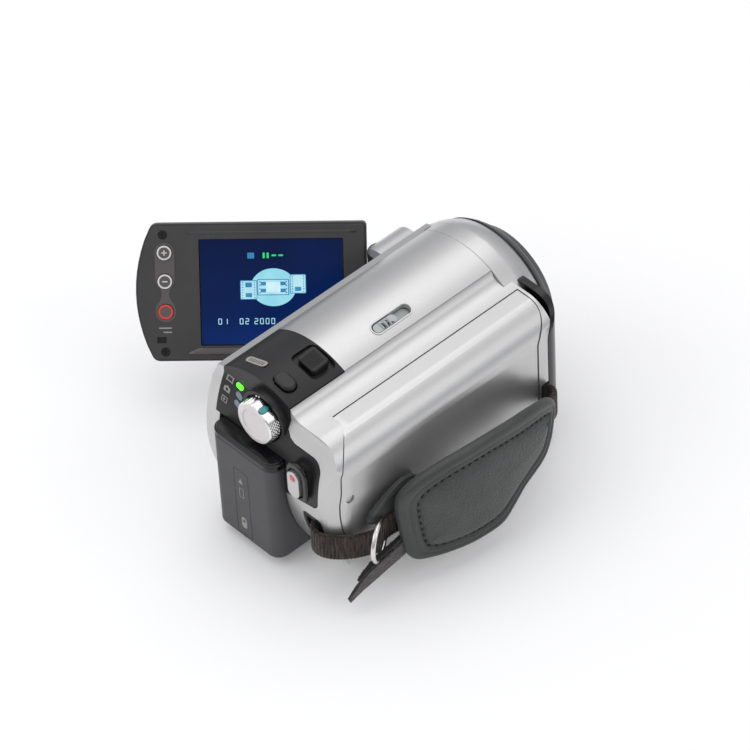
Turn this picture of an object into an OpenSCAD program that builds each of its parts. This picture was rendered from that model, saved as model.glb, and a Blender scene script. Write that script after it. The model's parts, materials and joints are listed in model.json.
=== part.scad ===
// Hand-held hard-disk camcorder with a swing-out screen and a wrist strap.
// +Y points along the lens, +X towards the strap side, +Z up.
// The origin is the mouth of the tripod socket, under the lens axis.

/* [Housing] */
// Strap-side face of the housing
body_right = 41; // [39:0.5:43]
// Screen-side face of the housing
body_left = -23.5; // [-25:0.5:-23]
// Top of the strap-side block
block_top = 65.3; // [63:0.1:67]
// Thickness of the moulded shells
wall = 2; // [1.5:0.1:2.2]
// Rounding of the lower edge on the screen side
low_edge_r = 12; // [8:1:14]
// Rounding of the lower edge on the strap side
low_strap_r = 20; // [16:1:20]
// Rounding of the upper strap-side edge
top_edge_r = 12.5; // [10:0.5:14]
// Radius of the arc that the back follows, seen from the side
back_r = 58; // [56:1:60]
// Front plane of the housing's silver shells
front_y = 48; // [47:0.5:49]

/* [Lens] */
// Height of the lens axis
axis_z = 41; // [40:0.5:42]
// Radius of the arched top, concentric with the lens
arch_r = 31.8; // [31:0.1:32.5]
// Bore radius of the filter thread
filter_r = 15; // [14:0.5:16]
// Front end of the lens
lens_front_y = 64; // [63:0.5:65]

/* [Battery] */
// Width of the battery
battery_w = 31.8; // [30:0.1:32]
// Depth of the battery
battery_d = 18.5; // [16:0.5:20]
// Height of the battery
battery_h = 45; // [43:0.5:46]

/* [Screen panel] */
// Length of the panel from hinge end to outer end
panel_l = 82; // [78:1:84]
// Height of the panel
panel_h = 49.4; // [47:0.1:50]
// Thickness of the panel
panel_t = 10; // [9:0.5:10.5]
// Width of the screen, a 2.5-inch display
screen_w = 50.8; // [48:0.1:52]
// Height of the screen
screen_h = 38.1; // [36:0.1:39]
// Angle by which the panel stands open
open_deg = 45; // [30:5:60]
// Angle by which the panel is tilted up
tilt_deg = 32.5; // [20:0.5:34]

/* [Strap] */
// Width of the webbing
web_w = 11; // [9:0.5:12]
// Thickness of the webbing
web_t = 1.6; // [1.2:0.1:2]
// Thickness of the hand pad
pad_t = 5; // [4:0.5:6]
// How far the pad stands off the housing at its middle
pad_reach = 15; // [12:0.5:18]

/* [Hidden] */
$fn = 64;

// Housing
arch_left = -19;
arch_right = 14.6;
rail_z = 65.4;
panel_floor_z = 49.3;
cover_y = -27.5;
back_fold_z = 64;
back_cy = -0.7;
back_cz = 38;
seam = 0.15;
trough_x = 22;
back_corner_r = 9;
front_corner_r = 7;
barrel_y = 42;
shell_left_x = -17;
shell_right_x = 24;

// Battery and its bay
battery_x = 0.1 - battery_w / 2;
battery_y = -64;
battery_z = 4;
bay_y = battery_y + battery_d + 0.2;
bay_wall = 2;
battery_gap = 0.3;

// Rear controls
dial_x = 3.7;
dial_z = 59.7;
dial_r = 8.4;
dial_back_y = -54.4;
dial_face_y = -60;
shaft_r = 2;
shaft_fit = 0.05;
button_angle = 67;
record_x = 23.6;
record_z = 45.5;
record_w = 5.6;
record_h = 11.5;
light_size = [3.4, 1.9];
lights = [[-10.4, 63], [-9.6, 60], [-9.5, 57]];

// Top controls, as places along the arch
photo_x = 6.4;
photo_y = -47;
lever_x = 5.7;
lever_y = -33.4;
switch_x = 9;
switch_y = -0.3;
switch_slot = 17;
switch_len = 10;
control_fit = 0.3;

// Screen bay, hinge and panel
bay_floor_x = -19;
bay_low_z = 12;
bay_high_z = 60;
bay_back_y = -44;
bay_front_y = 25.8;
hinge_x = -29.5;
hinge_y = 30.3;
knuckle_r = 4.5;
knuckle_low_z = 21.5;
knuckle_high_z = 58;
tilt_z = 39.9;
pin_r = 1.5;
pin_fit = 0.04;
panel_gap = 5.2;
half_t = panel_t / 2;
bezel_t = 4;
glass_u = 38.96;

// Strap
strap_rear_z = 24;
strap_front_z = 27;
slot_y = 41.2;
slot_l = 4;
pad_high_z = 47;
pad_mid_y = 0.5;
pad_half_l = 37.5;
rivet_at = [-50.8, 43.4];
pad_lean_deg = 6;

// Points of an arc about [cx, cy], in the order of its angles
function arc(cx, cy, r, from, to, steps) =
    [for (i = [0:steps]) [cx + r * cos(from + (to - from) * i / steps),
                          cy + r * sin(from + (to - from) * i / steps)]];

// Extrudes an outline drawn in X and Z along Y
module along_y(from, to) {
    translate([0, to, 0]) rotate([90, 0, 0]) linear_extrude(to - from) children();
}

// Extrudes an outline drawn in Y and Z along X
module along_x(from, to) {
    translate([from, 0, 0]) rotate([90, 0, 90]) linear_extrude(to - from) children();
}

// A cylinder along Y
module rod_y(x, z, r, from, to) {
    translate([x, to, z]) rotate([90, 0, 0]) cylinder(h = to - from, r = r);
}

// A cylinder along X
module rod_x(y, z, r, from, to) {
    translate([from, y, z]) rotate([0, 90, 0]) cylinder(h = to - from, r = r);
}

// A box between two corners
module block(low, high) {
    translate(low) cube(high - low);
}

// A rectangle with round corners, centred
module round_rect(w, h, r) {
    polygon(concat(
        arc(w / 2 - r, h / 2 - r, r, 0, 90, 6),
        arc(r - w / 2, h / 2 - r, r, 90, 180, 6),
        arc(r - w / 2, r - h / 2, r, 180, 270, 6),
        arc(w / 2 - r, r - h / 2, r, 270, 360, 6)));
}

// The housing's outline from behind, inset by t
module housing_section(t) {
    polygon(concat(
        arc(body_left + low_edge_r, low_edge_r, low_edge_r - t, 180, 270, 18),
        arc(body_right - low_strap_r, low_strap_r, low_strap_r - t, 270, 360, 22),
        arc(body_right - top_edge_r, block_top - top_edge_r, top_edge_r - t, 0, 90, 24),
        [[trough_x, block_top - t], [19.5, block_top + 0.2 - t],
         [17.2, block_top + 0.9 - t], [15.6, block_top + 2.1 - t]],
        arc(0, axis_z, arch_r - t, acos(arch_right / arch_r), 180 - acos(-arch_left / arch_r), 36),
        [[-22.2 + t, rail_z - t], [body_left + t, 61 - t]]));
}

// The housing's outline from the side, inset by t
module housing_profile(t) {
    fold = asin((back_fold_z - back_cz) / back_r);
    polygon(concat(
        [[front_y - t, 80], [back_cy - (back_r - t) * cos(fold), 80]],
        [for (a = [fold:-3:-48]) [back_cy - (back_r - t) * cos(a), back_cz + (back_r - t) * sin(a)]],
        [[front_y - t, -6]]));
}

// The housing's outline from above, inset by t, with its strap-side corners round
module housing_plan(t) {
    back = back_cy - back_r;
    polygon(concat(
        [[-60, front_y - t], [-60, back + t]],
        arc(body_right - back_corner_r, back + back_corner_r, back_corner_r - t, 270, 360, 18),
        arc(body_right - front_corner_r, front_y - front_corner_r, front_corner_r - t, 0, 90, 8)));
}

// The closed housing, inset by t
module housing(t) {
    intersection() {
        along_y(-70, front_y - t) housing_section(t);
        along_x(-60, 60) housing_profile(t);
        translate([0, 0, -6]) linear_extrude(90) housing_plan(t);
    }
}

// The space of the lens barrel, which the shells stop short of
module barrel_space() {
    rod_y(0, axis_z, arch_r + seam, barrel_y - seam, 80);
}

// The housing's wall
module housing_wall() {
    difference() {
        housing(0);
        housing(wall);
    }
}

// The black part of the back that surrounds the record button, from behind
module record_leg_outline(grow) {
    polygon(concat(
        arc(28.2, 53.2, 4.4 + grow, 0, 90, 8),
        [[19, 57.6 + grow], [16.6, 58.6 + grow], [arch_right + grow, 61],
         [arch_right + grow, 75], [0, 75], [0, panel_floor_z - grow],
         [16.2 - grow, panel_floor_z - grow], [16.2 - grow, 35 - grow]],
        arc(29.4, 40.6, 3.2 + grow, 270, 360, 6)));
}

// The black back and top together, from behind
module control_outline(grow) {
    union() {
        record_leg_outline(grow);
        polygon([[arch_left - grow, panel_floor_z - grow], [5, panel_floor_z - grow],
                 [5, 80], [arch_left - grow, 80]]);
    }
}

// The space that the black top and back take out of the silver shells
module control_space(grow) {
    intersection() {
        along_y(-70, cover_y + grow) control_outline(grow);
        union() {
            block([-40, -70, 62.5], [arch_right + grow, cover_y + grow, 90]);
            block([-40, -70, 0], [60, -45, 90]);
        }
    }
}

// The battery's space, with the bay's clearance
module battery_space(grow) {
    block([battery_x - grow, battery_y - 10, -10],
          [battery_x + battery_w + grow, bay_y + bay_wall, panel_floor_z + 0.01]);
}

// A pill-shaped slot along the arch, cut or filled radially: x, y place, size and radial span
module on_arch(x, y) {
    lean = asin(x / arch_r);
    translate([0, y, axis_z]) rotate([0, lean, 0]) translate([0, 0, arch_r]) children();
}

// The hollow for the screen in the left side
module screen_bay() {
    block([-50, bay_back_y, bay_low_z], [bay_floor_x, bay_front_y, bay_high_z]);
}

module left_shell() {
    bay_t = 1.4;
    region = [[-60, -6], [shell_left_x, -6], [shell_left_x, panel_floor_z],
              [arch_left, panel_floor_z], [arch_left, 80], [-60, 80]];
    color([0.80, 0.80, 0.81]) difference() {
        intersection() {
            union() {
                housing_wall();
                intersection() {
                    housing(0);
                    block([-60, bay_back_y - wall, bay_low_z - wall],
                          [bay_floor_x + bay_t, bay_front_y, bay_high_z + wall]);
                }
            }
            along_y(-70, front_y - wall - seam) polygon(region);
        }
        screen_bay();
        // The hinge housing takes the front of this side
        block([-60, bay_front_y, bay_low_z - 0.2], [bay_floor_x - seam, 60, bay_high_z + 2.8]);
        barrel_space();
        // Seats of the two keys and the speaker in the bay floor
        rod_x(-28, 50, 3 + control_fit, -30, -10);
        rod_x(-16, 50, 3 + control_fit, -30, -10);
        for (i = [-2:2]) block([-30, -30.5, 27 + i * 3], [-10, -18, 28.2 + i * 3]);
    }
}

module top_cover() {
    color([0.82, 0.82, 0.83]) difference() {
        intersection() {
            housing_wall();
            block([arch_left + seam, cover_y + seam, 60], [arch_right - seam, barrel_y - seam, 90]);
        }
        on_arch(switch_x, switch_y) linear_extrude(6, center = true) round_rect(4.2, switch_slot, 2);
    }
}

// The space that the drive cover takes, grown by the groove round it
module drive_cover_space(grow) {
    r = 14;
    back = back_cy - back_r + 3.9;
    intersection() {
        block([24.6 - grow, -70, 13 - grow], [60, 60, 80]);
        translate([0, 0, -6]) linear_extrude(90) polygon(concat(
            [[0, -70], [60, -70], [60, 36.5]], arc(33, 36.5, 8 + grow, 0, 90, 8), [[0, 44.5 + grow]]));
        along_x(0, 60) polygon(concat(
            [for (a = [-32:6:10]) [back_cy - (back_r - 3.9 + grow) * cos(a),
                                   back_cz + (back_r - 3.9 + grow) * sin(a)]],
            arc(back + r + 0.6, block_top - r, r + grow, 165, 90, 8), [[60, block_top + grow], [60, 80],
            [60, -20]]));
    }
}

module right_shell() {
    color([0.80, 0.80, 0.81]) difference() {
        intersection() {
            housing_wall();
            union() {
                block([arch_right, -70, 40], [60, front_y - wall - seam, 90]);
                block([shell_right_x, -70, -10], [60, front_y - wall - seam, 41]);
                block([16.6, -70, -10], [60, -44, 90]);
            }
        }
        control_space(seam);
        battery_space(battery_gap);
        // Shallow seat of the drive cover
        difference() {
            drive_cover_space(0.2);
            housing(1.2);
        }
        // Strap slots at the back and at the front
        along_y(-70, -50) translate([29, strap_rear_z + 1]) round_rect(9.6, 14.6, 2);
        along_x(34, 45) translate([slot_y, strap_front_z]) round_rect(slot_l, web_w + 2, 1);
        barrel_space();
        rod_x(rivet_at[0], rivet_at[1], 1.7, 35, 45);
    }
}

module drive_cover() {
    color([0.84, 0.84, 0.85]) difference() {
        intersection() {
            difference() {
                housing(0);
                housing(1.1);
            }
            drive_cover_space(-0.2);
        }
        rod_x(rivet_at[0], rivet_at[1], 1.7, 35, 45);
        along_x(34, 45) translate([slot_y, strap_front_z]) round_rect(slot_l, web_w + 2, 1);
    }
}

// Dark cover that closes the front beside and under the lens
module front_cover() {
    corner = 8;
    front = front_y + 3.2;
    color([0.20, 0.20, 0.21]) difference() {
        union() {
            difference() {
                intersection() {
                    along_y(40, front) housing_section(0.2);
                    translate([0, 0, -6]) linear_extrude(90) polygon(concat([[-60, 0], [body_right, 0]],
                        arc(body_right - corner, front - corner, corner - 0.2, 0, 90, 8),
                        [[-60, front - 0.2]]));
                }
                housing(-seam);
            }
            // Rim that locates the cover inside the shells
            intersection() {
                along_y(front_y - wall, front_y + 1) housing_section(wall + 0.2);
                translate([0, 0, -6]) linear_extrude(90) housing_plan(wall - 1);
                block([-20, 0, 0], [body_right - 4, 60, 90]);
            }
        }
        rod_y(0, axis_z, arch_r + seam, 0, 80);
        block([-60, 0, 50], [-10, 60, 90]);
        rod_y(-6, 5, 3, front - 1.4, front + 4);
        along_y(front - 1.4, front + 4) translate([10, 5]) round_rect(14, 4.4, 2);
    }
}

module bottom_plate() {
    color([0.16, 0.16, 0.17]) difference() {
        intersection() {
            housing_wall();
            block([shell_left_x + seam, bay_y + bay_wall + seam, -1],
                  [shell_right_x - seam, front_y - wall - seam, 6]);
        }
        cylinder(h = 20, r = 6, center = true);
        block([-4.4, -36.6, -5], [4.4, -27.4, 10]);
        for (x = [-12, 18], y = [-38, 36]) translate([x, y, 0]) cylinder(h = 20, r = 1.6, center = true);
    }
}

module control_panel() {
    color([0.07, 0.07, 0.075]) difference() {
        union() {
            intersection() {
                housing_wall();
                control_space(-seam);
            }
            // Ledge over the battery
            intersection() {
                housing(0.5);
                block([arch_left + 1, -70, panel_floor_z], [arch_right, -44.2, panel_floor_z + 1.6]);
            }
            // Cup behind the dial
            rod_y(dial_x, dial_z, dial_r + 1.9, dial_back_y - 1, dial_back_y + 2.6);
            // Tray under the zoom lever
            on_arch(lever_x, lever_y) translate([0, 0, -4.4]) linear_extrude(3) round_rect(14.5, 12.5, 3);
        }
        rod_y(dial_x, dial_z, dial_r + 0.6, -70, dial_back_y);
        rod_y(dial_x, dial_z, shaft_r + shaft_fit, -60, -40);
        along_y(-70, -50) translate([record_x, record_z]) round_rect(
            record_w + 2 * control_fit, record_h + 2 * control_fit, 2.9);
        along_y(-70, -57.9) translate([record_x, record_z]) round_rect(10.5, 17, 5);
        for (at = lights) along_y(-70, -50) translate(at) rotate(-20) round_rect(
            light_size.x + 0.2, light_size.y + 0.2, 1);
        on_arch(photo_x, photo_y) linear_extrude(20, center = true) round_rect(
            8.6 + 2 * control_fit, 5.8 + 2 * control_fit, 3);
        // Hollow that the zoom lever slides in
        on_arch(lever_x, lever_y) translate([0, 0, -2]) linear_extrude(6) round_rect(13, 11, 2.5);
        on_arch(lever_x, lever_y) linear_extrude(20, center = true) round_rect(6, 4, 1);
    }
}

module battery_bay() {
    color([0.10, 0.10, 0.11]) difference() {
        block([shell_left_x + seam, bay_y, 2.2], [16.4, bay_y + bay_wall, panel_floor_z - seam]);
        block([-9.2, bay_y - 1, 10.8], [9.2, bay_y + 5, 20.2]);
    }
}

module contact_block() {
    pad = 1.4;
    color([0.14, 0.14, 0.15]) difference() {
        block([-9, bay_y - 2.2, 11], [9, bay_y + 3, 20]);
        for (i = [-1:1]) block([i * 5 - pad / 2, bay_y - 3, 13], [i * 5 + pad / 2, bay_y - 1, 18]);
    }
}

// Silver shoulder on the left front that carries the screen's hinge
module hinge_housing() {
    low = 12;
    high = 62.6;
    color([0.80, 0.80, 0.81]) difference() {
        union() {
            difference() {
                along_y(bay_front_y, barrel_y - seam) translate([-21.5, (low + high) / 2])
                    round_rect(25, high - low, 8);
                block([-60, 0, -10], [hinge_x, hinge_y, 90]);
            }
            intersection() {
                translate([hinge_x, hinge_y, low]) cylinder(h = high - low, r = knuckle_r);
                along_y(0, front_y) translate([-21.5, (low + high) / 2])
                    round_rect(25, high - low, 8);
            }
        }
        block([bay_floor_x - 2 * seam, 0, -10], [60, 60, 90]);
        // Room for the turning hinge block and the panel's end
        translate([hinge_x, hinge_y, knuckle_low_z]) cylinder(h = knuckle_high_z - knuckle_low_z, r = 5.6);
        block([-60, 0, knuckle_low_z], [hinge_x, hinge_y + 5.6, knuckle_high_z]);
        block([-60, 0, knuckle_low_z], [hinge_x + 5.6, hinge_y, knuckle_high_z]);
        translate([hinge_x, hinge_y, 15]) cylinder(h = 45, r = pin_r);
    }
}

module hinge_pin() {
    color([0.62, 0.62, 0.64]) translate([hinge_x, hinge_y, 15]) cylinder(h = 45, r = pin_r);
}

module chassis_frame() {
    color([0.55, 0.56, 0.58]) difference() {
        union() {
            block([-14, -40, 2.2], [22, 40, 3.4]);
            block([-14, -1, 3.4], [22, 1, 20]);
            block([22, -40, 2.2], [23.2, 40, 56]);
        }
        cylinder(h = 40, r = 6.2, center = true);
        translate([0, 0, 3.4]) cylinder(h = 2.2, r = 8.9);
        rod_y(0, axis_z, 17.4, -60, 60);
        block([-4.6, -37, -5], [4.6, -27, 10]);
        for (x = [-12, 18], y = [-38, 36]) translate([x, y, 0]) cylinder(h = 20, r = 1.25, center = true);
    }
}

// Rotates an outline of radius and Y about the lens axis
module about_lens() {
    translate([0, 0, axis_z]) rotate([-90, 0, 0]) rotate_extrude($fn = 96) children();
}

module lens_barrel() {
    outer = [[arch_r, barrel_y], [arch_r, 48], [31.3, 50.6], [30.5, 52.9], [29.6, 54.8], [28.5, 56.7],
             [27.2, 58.4], [25.6, 60]];
    color([0.84, 0.84, 0.85]) about_lens() polygon(concat(
        outer, [[23.4, 60], [23.4, 58.4]], [for (i = [5:-1:0]) outer[i] - [2.2, 0]]));
}

module lens_front_ring() {
    color([0.05, 0.05, 0.055]) about_lens() polygon([
        [25.4, 60.1], [22.4, lens_front_y - 0.3], [21.8, lens_front_y], [19.5, lens_front_y],
        [filter_r, 61], [filter_r, 57.2], [17.2, 57.2], [17.2, 58.8], [23.2, 58.8], [23.2, 60.1]]);
}

module lens_tube() {
    color([0.10, 0.10, 0.11]) about_lens() polygon([
        [14, -20], [17, -20], [17, 57], [14.6, 57], [14.6, 52.5], [14, 52.5]]);
}

module front_lens() {
    color([0.30, 0.25, 0.42, 0.8]) about_lens() polygon(concat(
        [[0, 52.7], [14.5, 52.7], [14.5, 54]],
        [for (i = [8:-1:0]) [14.4 * i / 8, 56.6 - 2.4 * pow(i / 8, 2)]]));
}

// A lens group in its carrier, which slides inside the tube
module carried_lens(y, r_carrier, r_glass) {
    about_lens() polygon([[0, y], [r_glass, y - 1.5], [r_carrier, y - 1.5], [r_carrier, y + 3],
                          [r_glass, y + 3], [0, y + 4.2]]);
}

module zoom_lens() {
    color([0.25, 0.26, 0.30]) carried_lens(26, 13.9, 9);
}

module focus_lens() {
    color([0.25, 0.26, 0.30]) carried_lens(2, 13.9, 7);
}

module image_sensor() {
    color([0.20, 0.35, 0.25]) union() {
        block([-10, -24, axis_z - 9], [10, -22.4, axis_z + 9]);
        block([-5, -22.4, axis_z - 4], [5, -20.4, axis_z + 4]);
    }
}

module main_board() {
    color([0.10, 0.35, 0.20]) union() {
        block([-16.4, -40, 8], [-15, 24, 29]);
        for (y = [-32, -12, 8]) block([-15, y, 12], [-13.6, y + 11, 23]);
    }
}

// The 1.8-inch drive's box, grown by g
module drive_box(g) {
    block([25 - g, -39 - g, 7.6 - g], [32.5 + g, 32 + g, 61.4 + g]);
}

module hard_drive() {
    color([0.66, 0.67, 0.69]) union() {
        drive_box(0);
        rod_x(6, 34, 20, 32.5, 32.9);
    }
}

module drive_dampers() {
    color([0.05, 0.05, 0.05]) intersection() {
        difference() {
            drive_box(0.6);
            drive_box(0);
            block([27, -60, 10], [30.5, 60, 59]);
            block([0, -35, 0], [60, 28, 80]);
            block([0, -60, 16], [60, 60, 53]);
        }
        housing(wall);
    }
}

module speaker() {
    color([0.10, 0.10, 0.10]) rod_x(-24.2, 28, 8, bay_floor_x + 1.45, bay_floor_x + 2.45);
}

module microphone_grille() {
    color([0.30, 0.30, 0.31]) difference() {
        along_y(front_y + 1.9, front_y + 3.1) translate([10, 5]) round_rect(13.6, 4, 1.8);
        for (x = [5:2:15]) block([x, front_y, 3.8], [x + 0.8, 60, 6.2]);
    }
}

module infrared_window() {
    color([0.12, 0.02, 0.03]) rod_y(-6, 5, 2.8, front_y + 1.9, front_y + 3.3);
}

module tripod_bush() {
    color([0.72, 0.66, 0.45]) difference() {
        union() {
            cylinder(h = 7, r = 5.8);
            translate([0, 0, 3.5]) cylinder(h = 1.7, r = 8.5);
        }
        translate([0, 0, -1]) cylinder(h = 6.5, r = 3.175);
    }
}

module indicator_lights() {
    color([0.45, 1.0, 0.20]) intersection() {
        difference() {
            housing(-0.15);
            housing(1.2);
        }
        for (at = lights) along_y(-70, -48) translate(at) rotate(-20)
            round_rect(light_size.x, light_size.y, 0.9);
    }
}

// Outline of the dial's rim from behind, with a flat under the lock key
module dial_outline() {
    difference() {
        circle(r = dial_r);
        rotate(button_angle) translate([7.8, -10]) square([10, 20]);
    }
}

module mode_dial() {
    color([0.86, 0.84, 0.84]) difference() {
        union() {
            along_y(dial_face_y, dial_back_y - 0.2) translate([dial_x, dial_z]) dial_outline();
            rod_y(dial_x, dial_z, shaft_r, dial_back_y - 0.3, -50);
        }
        // Dished face
        rod_y(dial_x, dial_z, 5.6, dial_face_y - 1, dial_face_y + 0.5);
        // Pocket of the lock key
        dial_key(0.25, 1.5);
        // Finger groove beside the key
        translate([dial_x, dial_back_y, dial_z]) rotate([90, -button_angle - 42, 0])
            translate([dial_r + 0.7, 0, 0]) cylinder(h = 10, r = 1.4, center = true);
    }
}

// The dial's lock key: a pill across the rim's flat
module dial_key(grow, deeper) {
    translate([dial_x, (dial_face_y + dial_back_y) / 2, dial_z]) rotate([0, 90 - button_angle, 0])
        translate([0, 0, 6.2 - deeper]) linear_extrude(2.2 + 2 * deeper)
            rotate(90) round_rect(4 + grow, 2.2 + grow, 1);
}

module dial_button() {
    color([0.0, 0.58, 0.58]) dial_key(0, 0);
}

module record_button() {
    color([0.82, 0.82, 0.83]) difference() {
        along_y(-61.4, -56) translate([record_x, record_z]) round_rect(record_w, record_h, 2.6);
        rod_y(record_x, record_z + 3.2, 1.25, -62, -60.9);
    }
}

module record_mark() {
    color([0.80, 0.12, 0.10]) rod_y(record_x, record_z + 3.2, 1.2, -61.45, -60.95);
}

module photo_button() {
    color([0.06, 0.06, 0.065]) on_arch(photo_x, photo_y) translate([0, 0, -4]) linear_extrude(5.6)
        round_rect(8.6, 5.8, 2.8);
}

module zoom_lever() {
    color([0.07, 0.07, 0.08]) on_arch(lever_x, lever_y) union() {
        translate([0, 0, -1.7]) linear_extrude(4) round_rect(7.6, 7, 1.4);
        translate([0, 0, -6]) linear_extrude(4.5) round_rect(2, 2.4, 0.5);
    }
}

module night_switch() {
    ridge = 0.5;
    color([0.66, 0.68, 0.67]) on_arch(switch_x, switch_y - (switch_slot - switch_len) / 2 + 0.6) union() {
        translate([0, 0, -1.9]) linear_extrude(1.7) round_rect(3.6, switch_len, 1.6);
        for (i = [-1:1]) translate([-1.5, i * 1.8 - ridge / 2, -0.3]) cube([3, ridge, 0.7]);
        translate([0, 0, -3.2]) linear_extrude(0.9) round_rect(7, switch_len + 1, 1);
        translate([0, 0, -2.5]) linear_extrude(0.8) round_rect(3, 6, 1);
    }
}

// A round press key on the bay floor
module bay_key(y) {
    rod_x(y, 50, 3, bay_floor_x - 0.8, bay_floor_x + 2);
}

module easy_button() {
    color([0.12, 0.12, 0.13]) bay_key(-28);
}

module display_button() {
    color([0.12, 0.12, 0.13]) bay_key(-16);
}

module battery_latch() {
    color([0.14, 0.14, 0.15]) union() {
        block([-4, -36, 0.3], [4, -30, 3.2]);
        for (y = [-34.6, -33, -31.4]) block([-3, y - 0.3, -0.1 + 0.1], [3, y + 0.3, 0.3]);
    }
}

// The battery from above: round back corners, square front
module battery_plan(t) {
    corner = 4.6;
    x0 = battery_x + t;
    x1 = battery_x + battery_w - t;
    y0 = battery_y + t;
    polygon(concat(
        arc(x0 + corner - t, y0 + corner - t, corner - t, 180, 270, 8),
        arc(x1 - corner + t, y0 + corner - t, corner - t, 270, 360, 8),
        [[x1, battery_y + battery_d], [x0, battery_y + battery_d]]));
}

module battery_case() {
    color([0.30, 0.30, 0.32]) difference() {
        translate([0, 0, battery_z]) linear_extrude(battery_h - 3) battery_plan(0);
        block([-9.3, bay_y - 2.6, 0], [9.3, bay_y + 5, 20.4]);
    }
}

module battery_cap() {
    color([0.05, 0.05, 0.055]) union() {
        translate([0, 0, battery_z + battery_h - 3]) linear_extrude(2.2) battery_plan(0);
        translate([0, 0, battery_z + battery_h - 0.8]) linear_extrude(0.8) battery_plan(0.8);
    }
}

// Places children in the panel's own frame: X along the tilt shaft away from the
// hinge, Y out of the screen, Z up the screen
module panel_frame(tilted) {
    translate([hinge_x, hinge_y, tilt_z]) rotate([0, 0, -90 - open_deg])
        rotate([tilted ? tilt_deg : 0, 0, 0]) children();
}

module hinge_block() {
    color([0.70, 0.70, 0.71]) difference() {
        translate([hinge_x, hinge_y, knuckle_low_z + 0.3])
            cylinder(h = knuckle_high_z - knuckle_low_z - 0.6, r = 4.8);
        translate([hinge_x, hinge_y, 10]) cylinder(h = 60, r = pin_r + pin_fit);
        panel_frame(false) rotate([0, 90, 0]) translate([0, 0, 2.2]) cylinder(h = 20, r = pin_r);
    }
}

module tilt_sleeve() {
    color([0.50, 0.50, 0.52]) panel_frame(true) rotate([0, 90, 0]) difference() {
        translate([0, 0, panel_gap + 0.9]) cylinder(h = 5, r = 3.2);
        cylinder(h = 40, r = pin_r + pin_fit);
    }
}

module tilt_shaft() {
    color([0.62, 0.62, 0.64]) panel_frame(false) rotate([0, 90, 0]) translate([0, 0, 2.2])
        cylinder(h = 15, r = pin_r);
}

// The panel's face outline: nearly square at the hinge, bowed at the outer end
module panel_outline(t) {
    bow = 5;
    end_x = panel_gap + panel_l;
    polygon(concat(
        arc(panel_gap + 1.5, panel_h / 2 - 1.5, 1.5 - min(t, 1.4), 90, 180, 4),
        arc(panel_gap + 1.5, 1.5 - panel_h / 2, 1.5 - min(t, 1.4), 180, 270, 4),
        arc(end_x - bow - 3, 3 - panel_h / 2, 3 - min(t, 2.8), 270, 340, 4),
        [for (i = [-5:5]) [end_x - t - bow * pow(i / 6, 2), (panel_h / 2 - 2) * i / 6]],
        arc(end_x - bow - 3, panel_h / 2 - 3, 3 - min(t, 2.8), 20, 90, 4)));
}

// Extrudes an outline drawn on the screen's face through its thickness, from Y=a to Y=b
module through_panel(a, b) {
    translate([0, b, 0]) rotate([90, 0, 0]) linear_extrude(b - a) children();
}

module panel_shell(a, b, t) {
    through_panel(a, b) panel_outline(t);
}

// Hollow in the panel that holds the display and the tilt shaft
module panel_hollow() {
    block([panel_gap + 1.6, 1.6 - half_t, 1.6 - panel_h / 2],
          [panel_gap + panel_l - 8, half_t - 1.5, panel_h / 2 - 1.6]);
    block([panel_gap + 0.7, -3.4, -3.4], [panel_gap + 20, 3.4, 3.4]);
}

// Places of the keys and screws on the panel: distance from the hinge, height
wide_at = [76.7, 14.5];
tele_at = [76.7, 4.2];
red_at = [76.7, -6.7];
screw_x = 77.1;
screw_heights = [-21.2, 20.9];
key_r = 2.6;
screw_r = 1.6;

module screen_bezel() {
    split = half_t - bezel_t;
    color([0.26, 0.26, 0.27]) panel_frame(true) difference() {
        union() {
            panel_shell(split + 0.05, half_t - 0.8, 0);
            panel_shell(half_t - 0.8, half_t, 0.8);
        }
        panel_hollow();
        through_panel(0, 9) translate([glass_u, 0]) round_rect(screen_w + 0.3, screen_h + 0.3, 0.6);
        for (at = [wide_at, tele_at, red_at]) through_panel(0, 9) translate(at) circle(r = key_r + 0.2);
        for (z = screw_heights) through_panel(-9, 9) translate([screw_x, z]) circle(r = screw_r + 0.05);
        rotate([0, 90, 0]) cylinder(h = 20, r = pin_r + pin_fit);
    }
}

module screen_back() {
    split = half_t - bezel_t;
    color([0.78, 0.78, 0.79]) panel_frame(true) difference() {
        union() {
            panel_shell(split - 2.5, split, 0.6);
            panel_shell(1 - half_t, split - 2.5, 1.2);
            panel_shell(-half_t, 1 - half_t, 2);
        }
        panel_hollow();
        for (z = screw_heights) through_panel(1.5 - half_t, 9) translate([screw_x, z]) circle(r = screw_r + 0.05);
        rotate([0, 90, 0]) cylinder(h = 20, r = pin_r + pin_fit);
    }
}

module screen_glass() {
    color([0.03, 0.08, 0.30]) panel_frame(true) through_panel(half_t - 2.2, half_t - 1) translate([glass_u, 0])
        round_rect(screen_w, screen_h, 0.5);
}

module screen_backlight() {
    color([0.90, 0.90, 0.92]) panel_frame(true) through_panel(half_t - 5.6, half_t - 2.2)
        translate([glass_u + 1, 0]) round_rect(screen_w - 6, screen_h - 1, 0.5);
}

// A round key on the panel's face
module panel_key(at) {
    panel_frame(true) through_panel(half_t - 3.6, half_t + 0.4) translate(at) circle(r = key_r);
}

module wide_button() {
    color([0.75, 0.75, 0.76]) panel_key(wide_at);
}

module tele_button() {
    color([0.75, 0.75, 0.76]) panel_key(tele_at);
}

module screen_record_button() {
    color([0.70, 0.18, 0.14]) panel_key(red_at);
}

module panel_screws() {
    color([0.12, 0.12, 0.12]) panel_frame(true) for (z = screw_heights) difference() {
        through_panel(2 - half_t, half_t - 0.3) translate([screw_x, z]) circle(r = screw_r);
        through_panel(half_t - 0.8, 9) translate([screw_x, z]) square([2, 0.45], center = true);
        through_panel(half_t - 0.8, 9) translate([screw_x, z]) square([0.45, 2], center = true);
    }
}

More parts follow.
